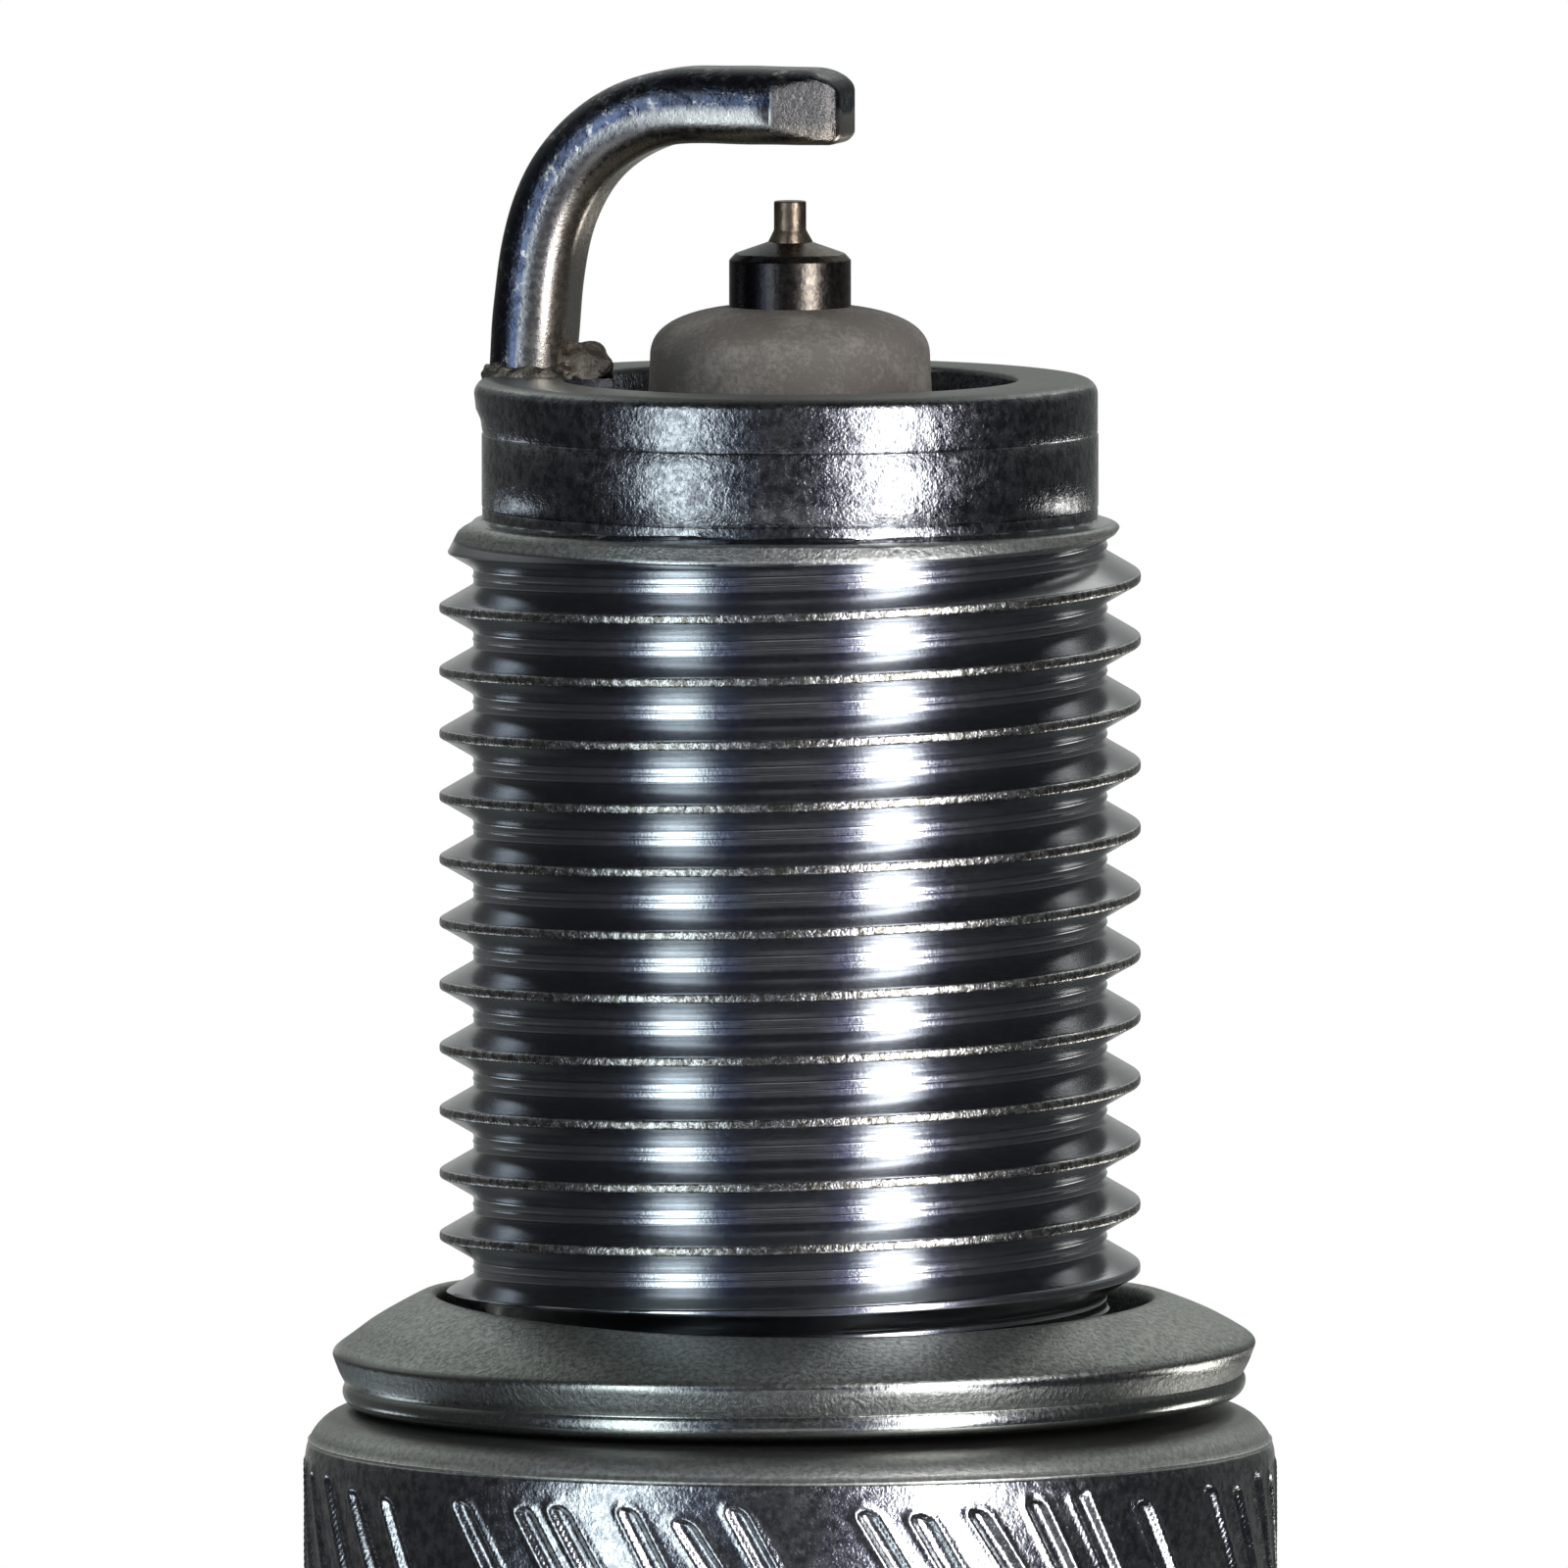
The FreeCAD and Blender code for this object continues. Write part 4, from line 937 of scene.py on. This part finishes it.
def build_centre_electrode():
    """The rod, with a head inside the insulator and a stepped cone outside."""
    corners = [
        (0.0, 22.88, 0),
        (0.0, -1.0, 0),
        (0.76, -1.0, 0),
        (0.76, -2.9, 0),
        (1.75, -2.9, 0),
        (1.75, -1.64, 0),
        (1.22, -1.22, 0),
        (1.21, 22.86, 0.06),
        (1.09, 22.99, 0.08),
        (0.44, 23.22, 0.05),
        (0.33, 23.24, 0),
        (0.33, 22.88, 0),
    ]
    outline = rounded(corners, 4)
    verts, faces = lathe(outline, 96)
    obj = make_object("centre_electrode_rod", verts, faces, "plug_body", ROD_METAL, 30)
    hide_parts("centre_electrode")
    return obj


def build_tip():
    """The fine wire and its fused foot."""
    corners = [
        (0.0, 22.9, 0),
        (0.31, 22.9, 0),
        (0.31, 23.2, 0),
        (0.45, 23.2, 0.02),
        (0.32, 23.46, 0.12),
        (0.32, 24.03, 0.035),
        (0.0, 24.03, 0),
    ]
    outline = rounded(corners, 4)

    def shape(a, r, z):
        # the fused foot of the wire is a little lumpy
        lump = 1 + 0.06 * np.sin(3 * a + 0.5) * np.exp(-(((z - 23.28) / 0.12) ** 2))
        return r * lump, z

    verts, faces = lathe(outline, 64, shape)
    obj = make_object("fine_wire_tip", verts, faces, "plug_body", TIP_METAL, 35)
    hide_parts("electrode_tip")
    return obj


def build_terminal_nut():
    """The waisted nut for the cap's clip."""
    corners = [
        (2.03, -40.34, 0.05),
        (2.03, -48.8, 0.05),
        (2.25, -49.0, 0.04),
        (2.575, -49.0, 0.15),
        (3.175, -48.4, 0.15),
        (3.175, -44.94, 0.12),
        (2.6, -44.44, 0.2),
        (2.6, -42.34, 0.2),
        (3.175, -41.84, 0.12),
        (3.175, -40.34, 0.15),
    ]
    outline = subdivide(rounded(corners, 5), 0.8)
    verts, faces = lathe(outline, 96)
    obj = make_object(
        "terminal_nut_body", verts, faces, "screwed_terminal", NUT_METAL, 35
    )
    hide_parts("terminal_nut")
    return obj


build_threaded_end()
build_flange()
build_hexagon()
build_gasket()
build_ground_electrode()
build_weld()
build_insulator()
build_centre_electrode()
build_tip()
build_terminal_nut()

KEPT_NODES = {
    "centre_electrode_core": COPPER,
    "lower_glass_seal": GLASS,
    "resistor": RESISTOR,
    "upper_glass_seal": GLASS,
    "terminal_stud": STEEL,
    "seat_washer": STEEL,
    "lower_packing_ring": STEEL,
    "talc_ring": TALC,
    "upper_packing_ring": STEEL,
}
for node, material in KEPT_NODES.items():
    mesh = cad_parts[node].data
    mesh.materials.clear()
    mesh.materials.append(material)


# ----------------------------------------
# Surroundings: a dark studio with two tall lamps for reflections, white behind for the camera
# ----------------------------------------
def build_world():
    world = bpy.data.worlds.new("studio")
    bpy.context.scene.world = world
    world.use_nodes = True
    tree = world.node_tree
    tree.nodes.clear()

    def add(kind, **values):
        node = tree.nodes.new(kind)
        for key, value in values.items():
            setattr(node, key, value)
        return node

    def math_node(operation, a, b=None):
        node = add("ShaderNodeMath", operation=operation)
        for socket, value in zip(node.inputs, (a, b)):
            if isinstance(value, bpy.types.NodeSocket):
                tree.links.new(value, socket)
            elif value is not None:
                socket.default_value = value
        return node.outputs[0]

    def ramp(value, low, high):
        node = add("ShaderNodeMapRange", interpolation_type="SMOOTHSTEP")
        tree.links.new(value, node.inputs["Value"])
        node.inputs["From Min"].default_value = low
        node.inputs["From Max"].default_value = high
        return node.outputs["Result"]

    direction = add("ShaderNodeTexCoord").outputs["Generated"]
    split = add("ShaderNodeSeparateXYZ")
    tree.links.new(direction, split.inputs[0])
    x, y, z = split.outputs[0], split.outputs[1], split.outputs[2]
    # azimuth is measured from the camera's side (-Y), positive to the right (+X), in degrees
    towards_camera = math_node("MULTIPLY", y, -1.0)
    azimuth = math_node("MULTIPLY", math_node("ARCTAN2", x, towards_camera), 180 / math.pi)
    elevation = math_node("MULTIPLY", math_node("ARCSINE", z), 180 / math.pi)

    def lamp(centre, half, low, high, soft, soft_end, colour, strength):
        """A tall soft lamp round an azimuth, between two elevations."""
        away = math_node("ABSOLUTE", math_node("SUBTRACT", azimuth, centre))
        across = ramp(away, half + soft, half - soft)
        below = ramp(elevation, low - soft_end, low + soft_end)
        above = ramp(elevation, high + soft_end, high - soft_end)
        level = math_node("MULTIPLY", across, math_node("MULTIPLY", below, above))
        return colour, math_node("MULTIPLY", level, strength)

    from_camera = math_node("ABSOLUTE", azimuth)
    off_horizon = math_node("ABSOLUTE", elevation)

    def glow(low, high, top, bottom, strength):
        """Faint light round the horizon, on one side of the plug."""
        spread = math_node("MULTIPLY", ramp(off_horizon, top, bottom), strength)
        return math_node("MULTIPLY", ramp(from_camera, low, high), spread)

    dome = math_node(
        "MULTIPLY",
        math_node("MULTIPLY", ramp(from_camera, 85, 160), ramp(elevation, 4, 40)),
        math_node("MULTIPLY", ramp(elevation, 69, 43), 0.46),
    )
    # lamps: azimuth, half width, lower and upper elevation, soft edges, colour, strength
    sources = [
        lamp(-43, 9, -44, 34, 5, 6, (0.90, 1.0, 1.0), 3.0),
        lamp(-41, 19, -44, 34, 8, 8, (0.16, 0.30, 1.0), 0.16),
        lamp(39.2, 9.0, -44, 42, 4, 5, (1.0, 0.99, 0.965), 9.0),
        lamp(38, 18, -44, 42, 8, 8, (0.22, 0.25, 1.0), 0.30),
        lamp(134, 8, -35, -18, 4, 4, (1.0, 0.97, 0.92), 5.0),
        lamp(-135, 8, -35, -18, 4, 4, (0.80, 0.90, 1.0), 2.0),
        lamp(161, 7, 24, 38, 4, 4, (1.0, 0.98, 0.93), 1.1),
        lamp(-161, 7, 24, 38, 4, 4, (0.93, 0.97, 1.0), 0.8),
        lamp(0, 16, -48, -30, 6, 5, (1.0, 1.0, 1.0), 0.35),
        ((0.93, 1.0, 0.95), dome),
        ((0.95, 1.0, 0.93), glow(92, 165, 40, 5, 0.085)),
        ((0.97, 1.0, 0.96), glow(158, 176, 30, 5, 0.40)),
        ((0.97, 0.98, 1.0), glow(32, 10, 45, 5, 0.036)),
    ]
    total = None
    for colour, strength in sources:
        tint = add("ShaderNodeVectorMath", operation="SCALE")
        tint.inputs[0].default_value = colour
        tree.links.new(strength, tint.inputs["Scale"])
        if total is None:
            total = tint.outputs[0]
            continue
        join = add("ShaderNodeVectorMath", operation="ADD")
        tree.links.new(total, join.inputs[0])
        tree.links.new(tint.outputs[0], join.inputs[1])
        total = join.outputs[0]
    base = add("ShaderNodeVectorMath", operation="ADD")
    base.inputs[1].default_value = (0.033, 0.034, 0.037)
    tree.links.new(total, base.inputs[0])

    seen = add("ShaderNodeBackground")
    seen.inputs["Color"].default_value = (1.0, 1.0, 1.0, 1.0)
    lit = add("ShaderNodeBackground")
    tree.links.new(base.outputs[0], lit.inputs["Color"])
    choose = add("ShaderNodeMixShader")
    rays = add("ShaderNodeLightPath")
    tree.links.new(rays.outputs["Is Camera Ray"], choose.inputs[0])
    tree.links.new(lit.outputs[0], choose.inputs[1])
    tree.links.new(seen.outputs[0], choose.inputs[2])
    output = add("ShaderNodeOutputWorld")
    tree.links.new(choose.outputs[0], output.inputs["Surface"])


def build_floor(height):
    """Pale disc under the plug that fades to the white surroundings at its edge."""
    rings = [0.0, 40.0, 90.0, 160.0, 230.0, 300.0]
    count = 96
    verts = [(0.0, 0.0, height)]
    for radius in rings[1:]:
        for i in range(count):
            a = TURN * i / count
            verts.append((radius * math.cos(a), radius * math.sin(a), height))
    faces = [(0, 1 + i, 1 + (i + 1) % count) for i in range(count)]
    for j in range(len(rings) - 2):
        p, q = 1 + j * count, 1 + (j + 1) * count
        faces += [(p + i, q + i, q + (i + 1) % count, p + (i + 1) % count) for i in range(count)]
    mesh = bpy.data.meshes.new("floor")
    mesh.from_pydata((np.array(verts) * MM).tolist(), [], faces)
    n = Nodes("pale_floor")
    n.set("Base Color", (0.86, 0.86, 0.85, 1.0))
    n.set("Roughness", 0.9)
    fade = n.range(n.radius(), 60.0, 290.0, 0.0, 1.0)
    glow = n.tree.nodes.new("ShaderNodeEmission")
    glow.inputs["Color"].default_value = (1, 1, 1, 1)
    mix = n.tree.nodes.new("ShaderNodeMixShader")
    n.link(fade, mix.inputs[0])
    n.link(n.shader.outputs[0], mix.inputs[1])
    n.link(glow.outputs[0], mix.inputs[2])
    n.link(mix.outputs[0], n.tree.nodes["Material Output"].inputs["Surface"])
    mesh.materials.append(n.material)
    floor = bpy.data.objects.new("floor", mesh)
    bpy.context.scene.collection.objects.link(floor)
    floor.visible_glossy = False


def build_camera():
    """Close view of the firing end, 4.5 degrees above the horizon, from far away."""
    distance, width, elevation = 900.0, 31.13, math.radians(4.5)
    target = Vector((-0.12, 0.0, 12.43))
    back = Vector((0.0, -math.cos(elevation), math.sin(elevation)))
    camera = bpy.data.objects.new("camera", bpy.data.cameras.new("camera"))
    bpy.context.scene.collection.objects.link(camera)
    camera.data.sensor_width = 36.0
    camera.data.lens = 18.0 / (width / 2 / distance)
    camera.data.clip_start, camera.data.clip_end = 0.01, 20.0
    camera.location = (target + back * distance) * MM
    camera.rotation_mode = "QUATERNION"
    camera.rotation_quaternion = (-back).to_track_quat("-Z", "Y")
    bpy.context.scene.camera = camera


build_world()
build_floor(FLOOR)
build_camera()
bpy.context.scene.view_settings.view_transform = "Standard"
